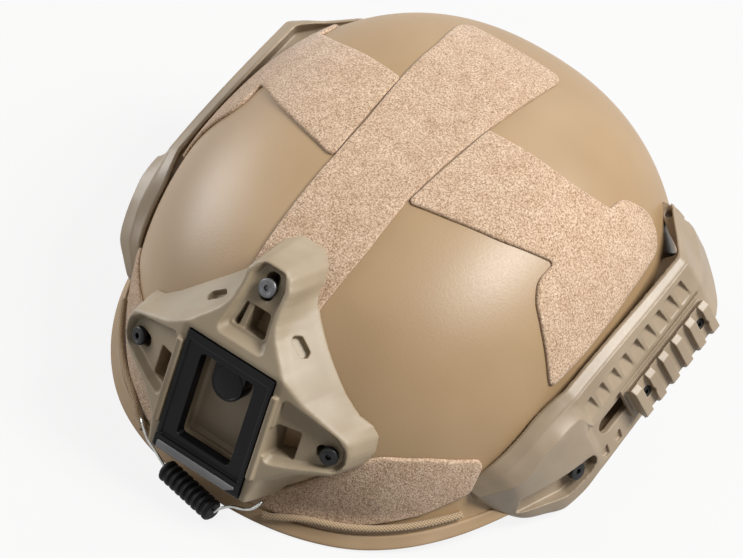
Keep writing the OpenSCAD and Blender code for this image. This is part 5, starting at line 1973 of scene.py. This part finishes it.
@dataclass
class Studio:
    """Pale floor, soft lamps and the photograph's camera."""

    image: tuple[int, int] = (743, 558)
    target: tuple[float, float, float] = (0.0, 0.0243, 0.0046)
    right: tuple[float, float, float] = (0.7894, 0.6005, 0.1276)
    back: tuple[float, float, float] = (0.3690, -0.6303, 0.6830)
    away: float = 2.5
    pixels_per_mm: float = 2.18
    middle_px: tuple[float, float] = (415.3, 320.42)
    aim: tuple[float, float, float] = (0, 0, 0.06)
    fill: float = 0.13
    floor_z: float = -0.0006
    floor_colour: str = "#8c8a88"
    floor_white: tuple[float, float] = (1.12, 0.78)
    lamps: Sequence[tuple[str, tuple[float, float, float], float, float]] = (
        ("key", (1.15, 0.3, 1.62), 0.8, 57), ("side", (-1.8, -0.2, 0.62), 0.9, 25),
        ("back", (-0.3, 1.5, 1.3), 1.2, 7))

    def camera(self) -> bpy.types.Object:
        """Makes the camera at the photograph's place and angle.

        Returns:
            The camera.
        """
        back = Vector(self.back).normalized()
        right = Vector(self.right)
        right = (right - back * right.dot(back)).normalized()
        up = back.cross(right)
        data = bpy.data.cameras.new("camera")
        data.sensor_width = 36
        data.lens = self.pixels_per_mm / MM * self.away / self.image[0] * data.sensor_width
        data.shift_x = (self.image[0] / 2 - self.middle_px[0]) / self.image[0]
        data.shift_y = (self.middle_px[1] - self.image[1] / 2) / self.image[0]
        data.clip_start, data.clip_end = 0.1, 50
        made = bpy.data.objects.new("camera", data)
        bpy.context.scene.collection.objects.link(made)
        turn = Matrix((right, up, back)).transposed().to_4x4()
        made.matrix_world = Matrix.Translation(Vector(self.target) + back * self.away) @ turn
        bpy.context.scene.camera = made
        return made

    def lamp(self, name: str, place: Sequence[float], size: float, power: float) -> bpy.types.Object:
        """Adds a square soft lamp that faces the helmet.

        Args:
            name: The lamp's name.
            place: Where it hangs, in metres.
            size: Side of the square in metres.
            power: Watts.

        Returns:
            The lamp.
        """
        data = bpy.data.lights.new(name, "AREA")
        data.size, data.energy = size, power
        made = bpy.data.objects.new(name, data)
        made.location = place
        made.rotation_mode = "QUATERNION"
        made.rotation_quaternion = (Vector(place) - Vector(self.aim)).to_track_quat("Z", "Y")
        bpy.context.scene.collection.objects.link(made)
        return made

    def white_where_seen(self, tree: bpy.types.NodeTree, closure: bpy.types.NodeSocket, level: float,
                         share: float) -> bpy.types.NodeSocket:
        """Mixes in plain white for rays from the camera, reflections and refractions.

        Args:
            tree: The node tree.
            closure: The closure that lights the helmet.
            level: Strength of the white.
            share: Share of the white in the mix.

        Returns:
            The mixed closure.
        """
        white = add_node(tree, "ShaderNodeEmission", {"Color": (1, 1, 1, 1), "Strength": level})
        factor = add_node(tree, "ShaderNodeMath", {1: share}, {0: self.seen(tree)}, operation="MULTIPLY")
        return add_node(tree, "ShaderNodeMixShader", links={0: factor.outputs[0], 1: closure,
                                                            2: white.outputs[0]}).outputs[0]

    def seen(self, tree: bpy.types.NodeTree) -> bpy.types.NodeSocket:
        """Gives 1 for rays from the camera, reflections and refractions, and 0 for light on the helmet.

        Args:
            tree: The node tree.

        Returns:
            The socket.
        """
        path = add_node(tree, "ShaderNodeLightPath")
        first = add_node(tree, "ShaderNodeMath", links={0: path.outputs["Is Camera Ray"],
                                                        1: path.outputs["Is Transmission Ray"]}, operation="MAXIMUM")
        return add_node(tree, "ShaderNodeMath", links={0: first.outputs[0], 1: path.outputs["Is Glossy Ray"]},
                        operation="MAXIMUM").outputs[0]

    def floor(self) -> bpy.types.Object:
        """Lays the pale floor.

        Returns:
            The floor.
        """
        bm = bmesh.new()
        bmesh.ops.create_grid(bm, x_segments=1, y_segments=1, size=6)
        bmesh.ops.translate(bm, vec=(0, 0, self.floor_z), verts=bm.verts)
        mesh = bpy.data.meshes.new("floor")
        bm.to_mesh(mesh)
        bm.free()
        floor = to_object(mesh, "floor")
        paper = bpy.data.materials.new("white_paper")
        paper.use_nodes = True
        tree = paper.node_tree
        tree.nodes.clear()
        matt = add_node(tree, "ShaderNodeBsdfDiffuse", {"Color": linear(self.floor_colour)})
        out = add_node(tree, "ShaderNodeOutputMaterial")
        tree.links.new(self.white_where_seen(tree, matt.outputs[0], *self.floor_white), out.inputs[0])
        mesh.materials.append(paper)
        return floor

    def world(self) -> None:
        """Fills the room with a dim even light behind a white backdrop."""
        world = bpy.data.worlds.new("room")
        bpy.context.scene.world = world
        world.use_nodes = True
        tree = world.node_tree
        tree.nodes.clear()
        fill = add_node(tree, "ShaderNodeBackground", {"Color": (1, 1, 1, 1), "Strength": self.fill})
        out = add_node(tree, "ShaderNodeOutputWorld")
        white = add_node(tree, "ShaderNodeBackground", {"Color": (1, 1, 1, 1), "Strength": 1.0})
        mix = add_node(tree, "ShaderNodeMixShader", links={0: self.seen(tree), 1: fill.outputs[0], 2: white.outputs[0]})
        tree.links.new(mix.outputs[0], out.inputs[0])

    def build(self) -> None:
        """Sets up camera, floor, world and lamps."""
        bpy.context.scene.view_settings.view_transform = "Standard"
        self.camera()
        self.floor()
        self.world()
        for lamp in self.lamps:
            self.lamp(*lamp)


def main() -> None:
    """Builds the scene round the frame."""
    logging.basicConfig(level=logging.INFO, format="%(name)s: %(message)s")
    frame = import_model()
    nodes = frame["nodes"]
    Studio().build()
    Shell().build()
    LoopPanels().build()
    FrontMount(nodes).build()
    for side in Side:
        SideRail(nodes, side).build()
    Lashing().build()
    Liner(nodes).build()
    Harness(nodes).build()
    RailScrews(nodes).build()
    dressed(nodes, ["rail_nuts"], BRIGHT_STEEL)


if __name__ == "__main__":
    main()
